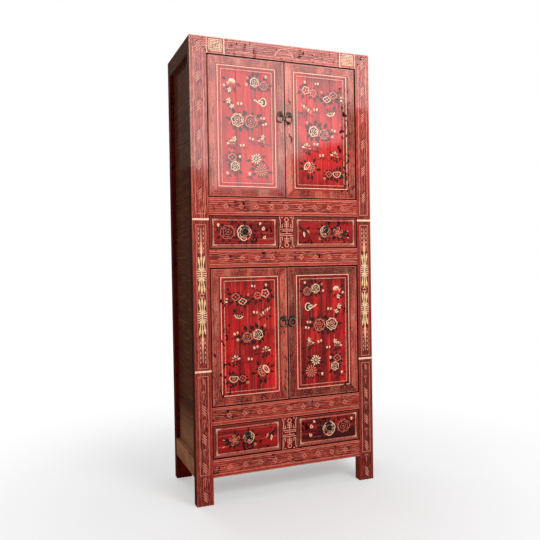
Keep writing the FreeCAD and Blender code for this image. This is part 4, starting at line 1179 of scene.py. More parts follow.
def bowl_flower():
    """A cupped flower, pale at its rim and dark within."""
    m = Motif()
    m.leaves((168, 132, 96, 60, 20), 10, 24, 11)
    m.leaves((202, 234, 266, 298, 332), 12, 22, 12, (0, -2))
    outline = [(-19, 7), (-15, -8), (0, -15), (15, -8), (19, 7), (8, 10), (-8, 10)]
    m.stroke("cream", outline)
    m.stroke("field_worn", scaled(outline, 0.82, (0, -1)))
    for degrees in (215, 245, 270, 295, 325):
        m.dash("pink", degrees, 9.5, 2.4, 0, spot(degrees, 3, (0, 3)))
    m.stroke("wine", oval(8, 3.8, (0, 4)))
    for u in (-5, 0, 5):
        m.stroke("cream", oval(1.6, 1.6, (u, 5)))
    return m


def white_rose(wide, high):
    """A large cream rose whose dark heart behind the pull is partly its own dark paint and partly painted
    shadow of the pull.
    """
    m = Motif()
    m.leaves((8, 46, 84, 128, 168, 205, 240, 274, 310, 344), 0.80 * wide, 0.70 * wide, 0.38 * wide)
    m.stroke("leaf", oval(0.86 * wide, 0.84 * high))
    for degrees, name, share in ((10, "blush", 0.90), (62, "pink", 0.92), (112, "cream", 0.98),
                                 (160, "cream", 1.0), (208, "cream", 0.96), (305, "pink", 0.92),
                                 (255, "cream", 1.0)):
        m.petal(name, degrees, 0.10 * wide, share * wide, 0.78 * wide)
        m.petal("wine", degrees, 0.2 * wide, (share - 0.11) * wide, 0.62 * wide)
    m.petal("pink", 262, 0.2 * wide, 0.72 * wide, 0.60 * wide)
    for degrees in (20, 85, 150, 215):
        m.petal("cream", degrees, 0.1 * wide, 0.68 * wide, 0.52 * wide)
        m.petal("leaf", degrees, 0.1 * wide, 0.59 * wide, 0.38 * wide)
    # The dark oval in the middle is partly the rose's dark heart and partly painted shadow of the pull
    m.stroke("leaf", oval(0.36 * wide, 0.34 * wide, (0, 1)))
    return m


def line_peony(rim, inside, radius, squash):
    """A broad peony drawn in fine curved lines on dark leaves."""
    m = Motif()
    m.leaves((15, 62, 118, 160, 205, 240, 275, 310), 0.80 * radius, 0.72 * radius, 0.38 * radius)
    add_peony(m, rim, (inside, "wine"), radius, 8, 60)
    m.dash(rim, 30, 0.40 * radius, 2.0, 1.5, spot(210, 0.2 * radius))
    return squashed(m, squash)


def drawer_stem():
    """Two long buds that hang from a dark stem."""
    m = Motif()
    bough = [(-32, 30), (-16, 16), (-2, 0), (10, -16), (4, -18), (-8, -6), (-22, 8), (-30, 24)]
    m.stroke("leaf", bough, (0, 3))
    m.dash("leaf", -20, 26, 5, 0, (-8, 6))
    m.dash("pink", -62, 22, 9, 1, (8, 6))
    m.dash("cream", -80, 26, 9, -1, (-7, -2))
    m.dash("wine", -80, 12, 2.4, 0, (-6, -8))
    return m


def orange_flower():
    """An orange-pink flower with broad dark leaves."""
    m = Motif()
    for degrees, length in ((95, 36), (128, 28), (6, 48), (-18, 44), (-50, 40), (-84, 34), (-120, 28),
                            (180, 20)):
        m.dash("leaf", degrees, length, 13, 2, spot(degrees, 8))
    m.stroke("leaf", oval(16, 14))
    for i in range(5):
        reach = 23 + 3 * math.sin(2.3 * i)
        m.petal("orange", 90 + 72 * i, 5, reach, 15)
        m.petal("wine", 94 + 72 * i, 8, reach - 2.6, 10.5)
        m.dash("orange", 84 + 72 * i, 11, 2.6, 2, spot(90 + 72 * i, 8))
    m.stroke("pink", lobed(7, 5, 0.2))
    m.stroke("wine", oval(3.2, 2.8))
    m.dash("cream", -20, 13, 3, 0, (44, -17))
    m.dash("cream", 18, 10, 2.6, 0, (42, 8))
    return m


def wheat():
    """One half of the gilt wheat sheaf of a post, growing up from its middle."""
    m = Motif()
    tip = 272
    for hand in (-1, 1):
        for i in range(5):
            z = 182 + 20 * i
            m.stroke("drawer_bead", band([(hand * 6, z - 8), (hand * 13, z - 6), (hand * 14, z + 2),
                                          (hand * 8, z + 3)], 2.6, 1.4))
            m.petal("cream", 90 - hand * 35, 0, 6, 3.2, (hand * 9, z + 6))
        hook = [(hand * 3, 3), (hand * 10, 7), (hand * 12, 15), (hand * 8, 18)]
        m.stroke("drawer_bead", band(hook, 2.4, 1.2))
        m.stroke("cream", oval(2.0, 2.0, (hand * 5, 6)))
    m.stroke("orange", [(-3.6, 168), (-3.0, 215), (0, 238), (3.0, 215), (3.6, 168)], (2,))
    awn = [(-1.5, 160), (-1.3, 220), (-0.7, tip), (0.7, tip), (1.3, 220), (1.5, 160)]
    m.stroke("cream", awn, (2, 3))
    for up, root_v, tall in ((1, 96, 64), (-1, 76, 62)):
        for lean, share in ((-1, 0.84), (0, 1.0), (1, 0.90)):
            middle = (lean * 8.4, root_v + up * 0.5 * share * tall)
            end = (lean * 11.8, root_v + up * share * tall)
            m.stroke("leaf", band([(lean * 3.4 + 1.8, root_v), (middle[0] + 3.4, middle[1]),
                                   (end[0] + 4.2, end[1] - up * 10)], 2.2, 3.0))
            m.stroke("gilt", band([(lean * 5.0, root_v), middle, end], 2.8, 4.2))
            m.petal("gilt", 90 * up - up * lean * 9, -7, 7, 4.6, end)
    for hand in (-1, 1):
        for i in range(6):
            tilt = 90 - hand * (48 + 17 * i)
            root = (hand * 5, 101 - 6.4 * i)
            m.petal("cream", tilt, 0, 13 + 2.5 * math.sin(math.pi * (i + 0.5) / 6), 3.6, root)
    m.stroke("gilt", oval(3.6, 15, (0, 86)))
    m.dash("cream", 90, 56, 3.2, 0, (0, 58))
    return m


def lozenge(count, lean):
    """Slanted pale brush strokes with dark ones between them, stacked into an upright lozenge."""
    m = Motif()
    along = 90 - lean * 44
    for name, shift, width in (("leaf", 0.5, 2.4), ("comb_pale", 0.0, 2.2)):
        for i in range(count):
            off = i + shift - (count - 1) / 2
            length = 32 - 5 * abs(off)
            middle = (0.0, 10.0 * off)
            start = spot(along + 180, 0.5 * length, middle)
            m.stroke(name, band([start, spot(along, 0.5 * length, middle)], width, 1.0))
    return m


def star():
    """A small star of eight arms."""
    m = Motif()
    for i in range(8):
        reach = 10.5 if i % 2 else 13.0
        m.stroke("comb_pale", band([spot(45 * i, 4.2), spot(45 * i, reach)], 1.5, 0.9))
    return m


def peak():
    """A thin upright line with a pointed head."""
    m = Motif()
    m.dash("comb_pale", 90, 40, 2.6, 0, (0, -22))
    m.dash("comb_pale", -128, 15, 2.8, 0, (0, 20))
    m.dash("comb_pale", -52, 15, 2.8, 0, (0, 20))
    return m


def key_fret(half_wide, half_high):
    """A square of fine key fret on dull red."""
    m = Motif()
    m.slab("stile_dull", bar(-half_wide, -half_high, half_wide, half_high))
    line = 2.8
    step = 5.9
    for k in range(4):
        a = half_wide - k * step
        b = half_high - k * step
        gap = step if k % 2 else 0
        m.slab("cream", bar(-a, b - line, a - gap, b))
        m.slab("gilt", bar(-a + step - gap, -b, a, -b + line))
        m.slab("gilt", bar(-a, -b + gap, -a + line, b))
        m.slab("cream", bar(a - line, -b, a, b - step + gap))
    return m


def divider_fret(half_wide, half_high):
    """A plain geometric fret, the same above and below and at both sides."""
    m = Motif()
    line = 2.8
    edge = half_wide - 3.5
    for up in (-1, 1):
        centre = (0, up * (half_high - 14))
        m.slab("fret_pink", lobed(11, 3, 0.0, centre, 0))
        m.slab("divider_red", lobed(7.6, 3, 0.0, centre, 0))
        m.slab("fret_pink", bar(-line / 2, up * 12, line / 2, up * (half_high - 25)))
        for i in range(3):
            v = up * (half_high - 28 - 7 * i)
            m.slab("fret_pink", bar(-12, v - line / 2, 12, v + line / 2))
        for side in (-1, 1):
            m.slab("fret_pink", bar(side * edge, up * 20, side * (edge - line), up * (half_high - 14)))
            m.slab("fret_pink", bar(side * edge, up * 20, side * 18, up * (20 + line)))
            m.slab("fret_pink", bar(side * 18, up * 20, side * (18 + line), up * 34))
            m.slab("fret_pink", bar(side * 16, up * (half_high - 3 - line),
                                    side * (edge - 4), up * (half_high - 3)))
            m.slab("fret_pink", turned(bar(0, -line / 2, 13, line / 2), 90 * up - side * up * 28,
                                   (side * (edge - 1.4), up * (half_high - 15))))
        m.slab("fret_pink", bar(-edge, up * 12, edge, up * (12 + line)))
        m.slab("fret_pink", bar(-edge + 6, up * 4.5, edge - 6, up * (4.5 + line)))
        m.slab("fret_pink", bar(up * edge, up * 4.5, up * (edge - line), up * (12 + line)))
        m.slab("fret_pink", bar(up * (edge - 6), up * 4.5, up * edge, up * (4.5 + line)))
    m.slab("fret_pink", bar(-line / 2, -4.5, line / 2, 4.5))
    return m


def frieze_arc():
    """A low arch in the middle of the frieze."""
    m = Motif()
    m.stroke("comb_pale", band([(-42, -15), (-31, 4), (-12, 16), (12, 16), (31, 4), (42, -15)], 3.2))
    return m


# Making strokes solid

def deselect_all():
    bpy.ops.object.select_all(action="DESELECT")


def select_only(objects):
    deselect_all()
    for item in objects:
        item.select_set(True)
    bpy.context.view_layer.objects.active = objects[0]


def stroke_curve(name, points, sharp, top):
    """A filled flat curve, thick enough to stand on the surface as high as its layer."""
    data = bpy.data.curves.new(name, "CURVE")
    data.dimensions = "2D"
    data.fill_mode = "BOTH"
    data.resolution_u = 3
    data.extrude = top / 2
    spline = data.splines.new("BEZIER")
    spline.bezier_points.add(len(points) - 1)
    spline.use_cyclic_u = True
    for i, (place, point) in enumerate(zip(spline.bezier_points, points)):
        kind = "VECTOR" if i in sharp else "AUTO"
        place.handle_left_type = kind
        place.handle_right_type = kind
        place.co = (point[0] * MM, point[1] * MM, 0.0)
    item = bpy.data.objects.new(name, data)
    bpy.context.scene.collection.objects.link(item)
    item.location.z = top / 2
    data.materials.append(paint_material(name))
    return item


def clean_solid(item):
    """Merges doubled points and turns the faces outwards."""
    select_only([item])
    bpy.ops.object.mode_set(mode="EDIT")
    bpy.ops.mesh.select_all(action="SELECT")
    bpy.ops.mesh.remove_doubles(threshold=0.000004)
    bpy.ops.mesh.normals_make_consistent(inside=False)
    bpy.ops.object.mode_set(mode="OBJECT")


MODELS = {}


def model(key, motif):
    """A motif made solid once: lying flat, its middle at the origin."""
    if key in MODELS:
        return MODELS[key]
    lift = sizes().paint_lift
    curves = []
    for i, (name, points, sharp) in enumerate(motif.strokes):
        curves.append(stroke_curve(name, points, sharp, sizes().paint_base + i * lift))
    select_only(curves)
    bpy.ops.object.convert(target="MESH")
    bpy.ops.object.join()
    item = bpy.context.view_layer.objects.active
    bpy.ops.object.transform_apply(location=True, rotation=True, scale=True)
    item.name = "model_" + key
    clean_solid(item)
    MODELS[key] = item
    return item


UPRIGHT = Euler((math.pi / 2, 0, 0)).to_matrix().to_4x4()


def put(source, x, z, face, turn=0.0, factor=1.0, mirrored=False):
    """A copy of a model on a face that looks forwards, with its own mesh."""
    item = source.copy()
    item.data = source.data.copy()
    bpy.context.scene.collection.objects.link(item)
    flip = -factor if mirrored else factor
    scale = Matrix.Diagonal((flip, factor, 1.0, 1.0))
    spin = Matrix.Rotation(math.radians(turn), 4, "Z")
    item.data.transform(Matrix.Translation((x, face, z)) @ UPRIGHT @ spin @ scale)
    if mirrored:
        item.data.flip_normals()
    return item


def join_piece(name, items, body):
    """Joins painted copies to one piece that rides on a body."""
    select_only(items)
    if len(items) > 1:
        bpy.ops.object.join()
    piece = bpy.context.view_layer.objects.active
    piece.name = name
    piece.data.name = name
    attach(piece, body)
    deselect_all()
    return piece


def drop_models():
    """Takes the finished models away once every copy is made."""
    for item in MODELS.values():
        bpy.data.objects.remove(item)
    MODELS.clear()


FLOWERS = {
    "dull_blossom": lambda: blossom("pink", "field_worn", (10, 58, 100, 145, 190, 235, 275, 320), 0.86, 4),
    "red_blossom": lambda: blossom("pink", "field_red", (30, 78, 150, 195, 238, 280, 322)),
    "pale_blossom": lambda: blossom("blush", "field_red", (12, 52, 140, 205, 250, 292, 335)),
    "cream_oval_blossom": lambda: blossom("cream", "field_worn", (30, 72, 165, 207, 248, 286, 322, 350),
                                          0.76, 4),
    "pink_bud": lambda: bud("pink"),
    "cream_bud": lambda: bud("cream"),
    "orange_bud": lambda: bud("orange"),
    "ring_bud": lambda: ring_bud("cream"),
    "white_flower": white_flower,
    "cup_flower": cup_flower,
    "butterfly": butterfly,
    "folded_butterfly": folded_butterfly,
    "spray": lambda: spray("cream", "pink"),
    "trail": lambda: trail("cream", "pink"),
    "buds": lambda: buds("cream", "blush"),
    "pink_peony": lambda: peony("pink", ("wine", "field_worn"), 26, 8),
    "cream_peony": lambda: peony("cream", ("wine", "field_worn"), 26, 7,
                                 (38, 78, 118, 156, 194, 230, 266, 302, 340)),
    "pink_peony_small": lambda: peony("pink", ("leaf", "wine"), 21.5, 7,
                                      (62, 100, 138, 176, 214, 250, 286, 320)),
    "cream_peony_small": lambda: peony("cream", ("leaf", "wine"), 21.5, 6,
                                       (12, 48, 84, 120, 230, 268, 304, 340)),
    "chrysanthemum": lambda: chrysanthemum("cream", 25),
    "dull_chrysanthemum": lambda: dull_chrysanthemum("pink", 25),
    "ring_flower": ring_flower,
    "bowl_flower": bowl_flower,
    "line_peony": lambda: line_peony("drawer_bead", "wine", 34, 0.86),
    "white_rose": lambda: white_rose(34, 35),
    "white_rose_small": lambda: white_rose(26, 28),
    "drawer_stem": drawer_stem,
    "orange_flower": orange_flower,
}

# Where the flowers stand on a door: model, shares across and up the leaf, turn, size
ROSE_DOOR_SHARES = (
    ("cream_bud", 0.245, 0.874, 10, 0.75), ("pink_peony_small", 0.275, 0.812, 0, 0.88),
    ("cream_peony_small", 0.395, 0.832, 0, 0.95), ("pink_bud", 0.48, 0.858, -20, 0.7),
    ("ring_bud", 0.50, 0.812, 0, 0.7), ("cup_flower", 0.695, 0.824, 0, 1.0),
    ("white_flower", 0.722, 0.764, 0, 0.85), ("cream_bud", 0.785, 0.79, -30, 0.75),
    ("butterfly", 0.315, 0.69, 0, 1.0), ("white_flower", 0.732, 0.686, 0, 1.0),
    ("white_flower", 0.692, 0.648, 40, 0.85), ("buds", 0.59, 0.666, 0, 0.9),
    ("pink_peony", 0.447, 0.549, 0, 1.1), ("cream_peony", 0.622, 0.552, 20, 1.08),
    ("buds", 0.292, 0.571, 0, 0.85), ("buds", 0.265, 0.528, -15, 0.85),
    ("white_flower", 0.294, 0.440, 0, 0.8), ("spray", 0.312, 0.404, 0, 0.9),
    ("buds", 0.446, 0.418, 15, 0.9), ("buds", 0.566, 0.367, 0, 0.85),
    ("white_flower", 0.668, 0.414, 20, 0.95), ("spray", 0.708, 0.380, -20, 1.0),
    ("dull_chrysanthemum", 0.317, 0.197, 0, 1.08), ("chrysanthemum", 0.386, 0.28, 0, 0.95),
    ("dull_blossom", 0.697, 0.282, 0, 1.05), ("cream_peony_small", 0.662, 0.22, 0, 0.95),
    ("cream_bud", 0.60, 0.284, 10, 0.8), ("cream_bud", 0.475, 0.162, 0, 0.85),
    ("cream_bud", 0.756, 0.163, -30, 0.8),
)
BUTTERFLY_DOOR_SHARES = (
    ("dull_blossom", 0.315, 0.79, 0, 1.1), ("cream_oval_blossom", 0.405, 0.755, 0, 1.05),
    ("red_blossom", 0.60, 0.795, 20, 0.95), ("pale_blossom", 0.704, 0.81, 45, 1.05),
    ("pink_bud", 0.475, 0.80, -30, 0.75), ("buds", 0.205, 0.765, 80, 0.85),
    ("buds", 0.545, 0.862, 0, 0.8), ("cream_bud", 0.716, 0.866, 0, 0.75),
    ("folded_butterfly", 0.35, 0.655, 0, 1.0), ("trail", 0.704, 0.664, 10, 1.1),
    ("buds", 0.568, 0.666, 0, 0.9), ("pink_peony_small", 0.458, 0.488, 0, 1.08),
    ("cream_peony_small", 0.60, 0.505, 15, 1.08), ("pink_bud", 0.69, 0.562, -15, 0.85),
    ("buds", 0.315, 0.517, 20, 0.9), ("ring_bud", 0.335, 0.475, 30, 0.8),
    ("buds", 0.57, 0.405, 10, 0.95), ("spray", 0.70, 0.378, -10, 1.15),
    ("spray", 0.30, 0.328, 0, 1.1), ("buds", 0.49, 0.322, 0, 0.95),
    ("ring_flower", 0.68, 0.235, 0, 1.0), ("dull_blossom", 0.39, 0.187, 10, 0.9),
    ("bowl_flower", 0.275, 0.19, 0, 1.0), ("orange_bud", 0.446, 0.152, -60, 0.95),
)
DOOR_PAINTINGS = {("lower", "left"): (BUTTERFLY_DOOR_SHARES, False),
                  ("upper", "right"): (BUTTERFLY_DOOR_SHARES, True),
                  ("lower", "right"): (ROSE_DOOR_SHARES, False),
                  ("upper", "left"): (ROSE_DOOR_SHARES, True)}

# On a drawer too, the shares run across and up from its lower left corner
ROSE_DRAWER_SHARES = (
    ("cream_bud", 0.124, 0.70, 0, 0.85), ("line_peony", 0.255, 0.51, 0, 1.0),
    ("white_rose", 0.50, 0.49, 0, 1.0), ("cream_bud", 0.725, 0.75, -30, 0.75),
    ("ring_bud", 0.775, 0.61, 20, 1.0), ("ring_bud", 0.79, 0.34, 0, 0.95),
)
STEM_DRAWER_SHARES = (
    ("drawer_stem", 0.17, 0.55, 0, 1.0), ("orange_flower", 0.695, 0.50, 0, 1.0),
    ("white_rose_small", 0.49, 0.53, 0, 1.0), ("orange_bud", 0.41, 0.28, 60, 0.95),
)
DRAWER_PAINTINGS = {("upper", "left"): (ROSE_DRAWER_SHARES, False),
                    ("lower", "right"): (ROSE_DRAWER_SHARES, True),
                    ("upper", "right"): (STEM_DRAWER_SHARES, False),
                    ("lower", "left"): (STEM_DRAWER_SHARES, True)}


def leaf_edges(row, side):
    """Left, right, bottom and top edge of a door leaf."""
    frame_low, frame_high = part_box(f"{row}_{side}_door_frame")
    panel_low, panel_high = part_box(f"{row}_{side}_door_panel")
    margin = panel_low.x - frame_low.x
    return frame_low.x, frame_high.x, panel_low.z - margin, panel_high.z + margin


def drawer_edges(row, side):
    low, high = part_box(f"{row}_{side}_drawer_front")
    return low.x, high.x, low.z, high.z


def flowers_on(edges, face, placings, mirrored, rng):
    """Copies of the flowers at their shares of a leaf or a drawer front."""
    left, right, bottom, top = edges
    items = []
    for key, across, up, turn, factor in placings:
        x = left + (1 - across if mirrored else across) * (right - left)
        z = bottom + up * (top - bottom)
        angle = (-turn if mirrored else turn) + rng.uniform(-6, 6)
        grow = factor * rng.uniform(0.96, 1.04)
        items.append(put(model(key, FLOWERS[key]()), x, z, face, angle, grow, mirrored))
    return items


# Operators

class LacquerFrame(bpy.types.Operator):
    """Lacquers the posts, rails, panels and the uprights between the drawers"""
    bl_idname = "cabinet.lacquer_frame"
    bl_label = "Lacquer the frame"

    def execute(self, context):
        z = sizes()
        for side in SIDES:
            dress([f"front_post_{side}"], front_post_finish(side))
            dress([f"rear_post_{side}"], rear_post_finish(side))
        rails = {"lower_drawer_top_rail": LOWER_RAIL_TOP, "upper_drawer_bottom_rail": MIDDLE_RAIL_TOP,
                 "upper_drawer_top_rail": UPPER_RAIL_TOP, "bottom_front_rail": BOTTOM_TOP}
        for i, (name, top) in enumerate(rails.items()):
            dress([name], rail_finish(f"{name} lacquer", top - z.rail_height, top, 10.0 + 7 * i))
        dress(["top_front_rail"], rail_finish("frieze lacquer", HEIGHT - z.top_rail_height, HEIGHT, 4.0))
        dress(["upper_drawer_divider", "lower_drawer_divider"], divider_finish())
        dress(["side_panel_left", "side_panel_right"],
              brown_finish("side panel lacquer", "y", 0.10, painted_floor_reflection=0.6))
        dress(["top_side_rail_left", "top_side_rail_right"],
              brown_finish("top side rail lacquer", "y", 0.10))
        # The lower side rails are painted almost wholly in the paler brown, as a painted reflection of the
        # floor
        dress(["bottom_side_rail_left", "bottom_side_rail_right"],
              brown_finish("bottom side rail lacquer", "y", 0.95))
        dress(["rear_rails", "top_panel"], brown_finish("rear rail lacquer", "x", 0.16))
        dress(["back_panels"], brown_finish("back lacquer", "z", 0.18, 0.8))
        return {"FINISHED"}


class LacquerDoors(bpy.types.Operator):
    """Lacquers the four door leaves and their beads"""
    bl_idname = "cabinet.lacquer_doors"
    bl_label = "Lacquer the doors"

    def execute(self, context):
        for row in ROWS:
            for side in SIDES:
                edges = leaf_edges(row, side)
                dress([f"{row}_{side}_door_panel"], door_panel_finish(row, side, edges))
                dress([f"{row}_{side}_door_frame"], door_frame_finish(row, side, edges))
        return {"FINISHED"}


class LacquerDrawers(bpy.types.Operator):
    """Lacquers the drawer fronts and leaves the boxes bare"""
    bl_idname = "cabinet.lacquer_drawers"
    bl_label = "Lacquer the drawers"

    def execute(self, context):
        bare = bare_wood_finish("drawer box wood", "y")
        for row in ROWS:
            for side in SIDES:
                dress([f"{row}_{side}_drawer_front"],
                      drawer_front_finish(row, side, drawer_edges(row, side)))
                dress([f"{row}_{side}_drawer_box"], bare)
        return {"FINISHED"}


class FinishInside(bpy.types.Operator):
    """Finishes the shelves, floors, guides and bearers inside"""
    bl_idname = "cabinet.finish_inside"
    bl_label = "Finish the inside"

    def execute(self, context):
        boards = ["lower_drawer_floor", "lower_cupboard_floor", "upper_drawer_floor",
                  "upper_cupboard_floor", "lower_shelf", "upper_shelf"]
        dress(boards, bare_wood_finish("inner board wood", "x"))
        dress(["bearers_and_cleats", "drawer_guides"], bare_wood_finish("runner wood", "y"))
        return {"FINISHED"}


class FinishPulls(bpy.types.Operator):
    """Gives the ring pulls their darkened brass"""
    bl_idname = "cabinet.finish_pulls"
    bl_label = "Finish the pulls"

    def execute(self, context):
        plate_brass = brass_finish("plate", "brass", 0.35)
        ring_brass = brass_finish("ring", "brass_ring", 0.85)
        for row in ROWS:
            for side in SIDES:
                for kind in ("door", "drawer"):
                    name = f"{row}_{side}_{kind}"
                    dress([f"{name}_pull_plate"], plate_brass)
                    dress([f"{name}_pull_ring"], ring_brass)
        return {"FINISHED"}


class PaintDoors(bpy.types.Operator):
    """Paints flowers and butterflies on the door panels"""
    bl_idname = "cabinet.paint_doors"
    bl_label = "Paint the doors"

    def execute(self, context):
        for (row, side), (placings, mirrored) in DOOR_PAINTINGS.items():
            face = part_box(f"{row}_{side}_door_panel")[0].y + sizes().outer_bead_height
            rng = random.Random(f"{row} {side} door")
            items = flowers_on(leaf_edges(row, side), face, placings, mirrored, rng)
            join_piece(f"{row}_{side}_door_flowers", items, f"{row}_{side}_door")
        return {"FINISHED"}


class PaintDrawers(bpy.types.Operator):
    """Paints flowers on the drawer fronts"""
    bl_idname = "cabinet.paint_drawers"
    bl_label = "Paint the drawers"

    def execute(self, context):
        for (row, side), (placings, mirrored) in DRAWER_PAINTINGS.items():
            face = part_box(f"{row}_{side}_drawer_front")[0].y + sizes().drawer_bead_height
            rng = random.Random(f"{row} {side} drawer")
            items = flowers_on(drawer_edges(row, side), face, placings, mirrored, rng)
            join_piece(f"{row}_{side}_drawer_flowers", items, f"{row}_{side}_drawer")
        return {"FINISHED"}


# Places of the ornament, in metres: below the top edge of a rail, below the top or a cream band
# of a post, and out from the middle of the frieze or up from it
STAR_DROP = 0.037
RISING_DROP = 0.042
FALLING_DROP = 0.038
FRET_OUT = 0.302
FRET_UP = 0.002
INNER_BAR_OUT = 0.265
OUTER_BAR_OUT = 0.3385

# Half widths of the frets and bars of the frieze and what they leave free above and below, in
# millimetres
FRET_HALF = 27
FRET_FREE = 9.5
INNER_BAR_HALF = 2.0
OUTER_BAR_HALF = 1.4
BAR_FREE = 0.5

# How many lozenges each post carries above and below the wheat, and the size of the cut-off one
RISING_COUNT = 6
FALLING_COUNT = 5
CUT_OFF_SHARE = 0.6


def slab_band(key, half_wide, half_high, name="cream"):
    """A plain painted bar as a model."""
    m = Motif()
    m.slab(name, bar(-half_wide, -half_high, half_wide, half_high))
    return model(key, m)


class PaintPosts(bpy.types.Operator):
    """Paints the cream bands, the gilt wheat sheaves and the lozenges of the posts"""
    bl_idname = "cabinet.paint_posts"
    bl_label = "Paint the posts"

    def execute(self, context):
        z = sizes()
        half = (OUTER_X - OPEN_X) / 2 / MM
        cream_band = slab_band("post_band", half - 0.6, z.post_band / MM / 2)
        rising = model("upper_lozenge", lozenge(4, 1))
        falling = model("lower_lozenge", lozenge(4, -1))
        sheaf = model("wheat", wheat())
        middle = (z.upper_band_z + z.lower_band_z) / 2
        for side, hand in HANDS.items():
            x = hand * POST_X
            items = [put(cream_band, x, height, FRONT) for height in (z.upper_band_z, z.lower_band_z)]
            items += [put(sheaf, x, middle, FRONT, turn) for turn in (0, 180)]
            for i in range(RISING_COUNT):
                items.append(put(rising, x, HEIGHT - RISING_DROP - z.lozenge_pitch * i, FRONT))
            for i in range(FALLING_COUNT):
                height = z.lower_band_z - FALLING_DROP - z.lozenge_pitch * i
                items.append(put(falling, x, height, FRONT, 0, CUT_OFF_SHARE if i == 0 else 1.0))
                if i < FALLING_COUNT - 1:
                    items.append(put(model("peak", peak()), x, height - z.lozenge_pitch / 2, FRONT))
            join_piece(f"{side}_post_ornament", items, "root")
        return {"FINISHED"}


class PaintRails(bpy.types.Operator):
    """Paints the stars of the rails and the frets and arch of the frieze"""
    bl_idname = "cabinet.paint_rails"
    bl_label = "Paint the rails"

    def execute(self, context):
        z = sizes()
        stars = []
        for top in (LOWER_RAIL_TOP, MIDDLE_RAIL_TOP, UPPER_RAIL_TOP, BOTTOM_TOP):
            for i in range(-4, 5):
                stars.append(put(model("star", star()), z.star_pitch * i, top - STAR_DROP, FRONT, 3 * i))
        join_piece("rail_stars", stars, "root")
        low = HEIGHT - z.top_rail_height
        middle = (low + HEIGHT) / 2
        half = z.top_rail_height / MM / 2
        frieze = [put(model("arc", frieze_arc()), 0.0, middle, FRONT)]
        for hand in (-1, 1):
            fret = model("key_fret", key_fret(FRET_HALF, half - FRET_FREE))
            frieze.append(put(fret, hand * FRET_OUT, middle + FRET_UP, FRONT, 0, 1, hand > 0))
            inner_bar = slab_band("inner_bar", INNER_BAR_HALF, half - BAR_FREE)
            frieze.append(put(inner_bar, hand * INNER_BAR_OUT, middle, FRONT))
            outer_bar = slab_band("outer_bar", OUTER_BAR_HALF, half - BAR_FREE, "blush")
            frieze.append(put(outer_bar, hand * OUTER_BAR_OUT, middle, FRONT))
        join_piece("frieze_ornament", frieze, "root")
        return {"FINISHED"}


# How far the curls of the fret reach past its half width, in millimetres
FRET_CURLS = 2.8


class PaintDividers(bpy.types.Operator):
    """Paints a plain fret on the uprights between the drawers"""
    bl_idname = "cabinet.paint_dividers"
    bl_label = "Paint the dividers"

    def execute(self, context):
        low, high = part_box("upper_left_drawer_front")
        half_high = (high.z - low.z) / 2 / MM
        fret = model("divider_fret", divider_fret(DIVIDER_HALF / MM - FRET_CURLS, half_high))
        for row in ROWS:
            low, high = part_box(f"{row}_left_drawer_front")
            item = put(fret, 0.0, (low.z + high.z) / 2, FRONT)
            join_piece(f"{row}_divider_fret", [item], "root")
        return {"FINISHED"}


# Stage

LENS = 40.87
CAMERA_PLACE = (-1.02080, -2.59440, 1.00761)
CAMERA_TURN = (88.8055, 0.8948, -21.4546)
FLOOR_HALF = 9.0
FLOOR_NEAR = 0.5
FLOOR_FAR = 1.8
FLOOR_LIFT = 0.40
WINDOW_DEPTH = -2.6
WINDOW_TOP = 2.84
WINDOW_GLOW = 12.4

# Panes of the window: left edge, right edge and lower edge, in metres
WINDOW_PANES = ((0.13, 0.36, 1.74), (0.36, 1.02, 1.58), (1.02, 1.20, 1.86), (1.20, 1.37, 1.95),
                (1.37, 1.58, 2.00), (1.58, 1.95, 2.32))


def add_lamp(name, place, target, wide, high, watts):
    """A soft rectangular lamp that faces a point."""
    data = bpy.data.lights.new(name, "AREA")
    data.shape = "RECTANGLE"
    data.size = wide
    data.size_y = high
    data.energy = watts
    item = bpy.data.objects.new(name, data)
    bpy.context.scene.collection.objects.link(item)
    item.location = place
    aim = (Vector(target) - Vector(place)).to_track_quat("-Z", "Y")
    item.rotation_euler = aim.to_matrix().to_euler()


def floor_finish():
    """A pale floor that holds the shadow and fades to white far from the cabinet."""
    finish = Finish("pale floor")
    kit = finish.kit
    vector = kit.place()[0]
    shade = kit.ramp(kit.noise(vector, 3.0, 2.0), 0.3, 0.7, 0.0, 0.05)
    tone = kit.mix(shade, colour("floor"), (0.78, 0.78, 0.78, 1.0))
    finish.surface(tone, 0.9, 0.0, 0.0)
    white = kit.add("Emission", {"Color": (1.0, 1.0, 1.0, 1.0), "Strength": 1.0})
    away = kit.add("VectorMath", {0: vector}, operation="LENGTH").outputs["Value"]
    fade = kit.product(kit.ramp(away, FLOOR_NEAR, FLOOR_FAR, FLOOR_LIFT, 1.0), kit.seen())
    blend = kit.add("MixShader", {0: fade, 1: finish.shader.outputs[0], 2: white.outputs[0]})
    kit.feed(finish.out.inputs["Surface"], blend.outputs[0])
    return finish.material


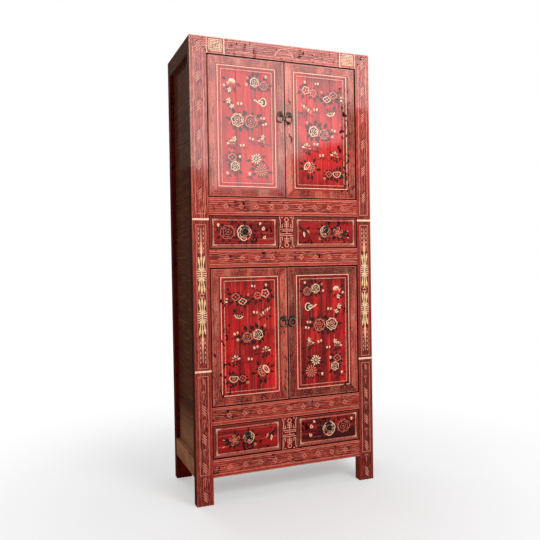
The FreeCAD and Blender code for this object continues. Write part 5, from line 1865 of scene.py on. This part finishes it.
class BuildStage(bpy.types.Operator):
    """Sets up the floor, the soft lamps, the world and the camera"""
    bl_idname = "cabinet.build_stage"
    bl_label = "Build the stage"

    def execute(self, context):
        deselect_all()
        bpy.ops.mesh.primitive_plane_add(size=2 * FLOOR_HALF)
        floor = context.view_layer.objects.active
        floor.name = "floor"
        floor.data.materials.append(floor_finish())

        world = bpy.data.worlds.new("soft surroundings")
        world.use_nodes = True
        context.scene.world = world
        world.node_tree.nodes.clear()
        kit = Tree(world.node_tree)
        glow = kit.mix(kit.seen(), (0.50, 0.50, 0.50, 1.0), (1.0, 1.0, 1.0, 1.0))
        sky = kit.add("Background", {"Color": glow, "Strength": 1.0})
        out = kit.add("OutputWorld")
        kit.feed(out.inputs["Surface"], sky.outputs[0])

        for left, right, low in WINDOW_PANES:
            middle = Vector(((left + right) / 2, WINDOW_DEPTH, (low + WINDOW_TOP) / 2))
            wide = right - left
            high = WINDOW_TOP - low
            watts = WINDOW_GLOW * math.pi * wide * high
            add_lamp("window pane", middle, middle + Vector((0.0, 1.0, 0.0)), wide, high, watts)
        add_lamp("rear lamp", (-0.6, 3.0, 2.6), (0.0, 0.2, 1.0), 2.4, 1.6, 50.0)

        lens = bpy.data.cameras.new("camera")
        lens.lens = LENS
        camera = bpy.data.objects.new("camera", lens)
        context.scene.collection.objects.link(camera)
        camera.location = CAMERA_PLACE
        camera.rotation_euler = [math.radians(turn) for turn in CAMERA_TURN]
        context.scene.camera = camera
        context.scene.view_settings.view_transform = "Standard"
        return {"FINISHED"}


OPERATORS = (LacquerFrame, LacquerDoors, LacquerDrawers, FinishInside, FinishPulls, PaintDoors,
             PaintDrawers, PaintPosts, PaintRails, PaintDividers, BuildStage)


class CabinetPanel(bpy.types.Panel):
    """Lists the steps that finish the cabinet"""
    bl_idname = "VIEW3D_PT_cabinet"
    bl_label = "Wedding cabinet"
    bl_space_type = "VIEW_3D"
    bl_region_type = "UI"
    bl_category = "Cabinet"

    def draw(self, context):
        for step in OPERATORS:
            self.layout.operator(step.bl_idname)
        for group in (context.scene.cabinet_sizes, context.scene.cabinet_colours):
            for key in group.bl_rna.properties.keys():
                if key not in ("rna_type", "name"):
                    self.layout.prop(group, key)


CLASSES = (CabinetSizes, CabinetColours, *OPERATORS, CabinetPanel)


def register():
    for item in CLASSES:
        bpy.utils.register_class(item)
    bpy.types.Scene.cabinet_sizes = bpy.props.PointerProperty(type=CabinetSizes)
    bpy.types.Scene.cabinet_colours = bpy.props.PointerProperty(type=CabinetColours)


def unregister():
    del bpy.types.Scene.cabinet_colours
    del bpy.types.Scene.cabinet_sizes
    for item in reversed(CLASSES):
        bpy.utils.unregister_class(item)


def main():
    register()
    deselect_all()
    bpy.ops.cabinet.lacquer_frame()
    bpy.ops.cabinet.lacquer_doors()
    bpy.ops.cabinet.lacquer_drawers()
    bpy.ops.cabinet.finish_inside()
    bpy.ops.cabinet.finish_pulls()
    bpy.ops.cabinet.paint_doors()
    bpy.ops.cabinet.paint_drawers()
    bpy.ops.cabinet.paint_posts()
    bpy.ops.cabinet.paint_rails()
    bpy.ops.cabinet.paint_dividers()
    drop_models()
    bpy.ops.cabinet.build_stage()


if __name__ == "__main__":
    main()
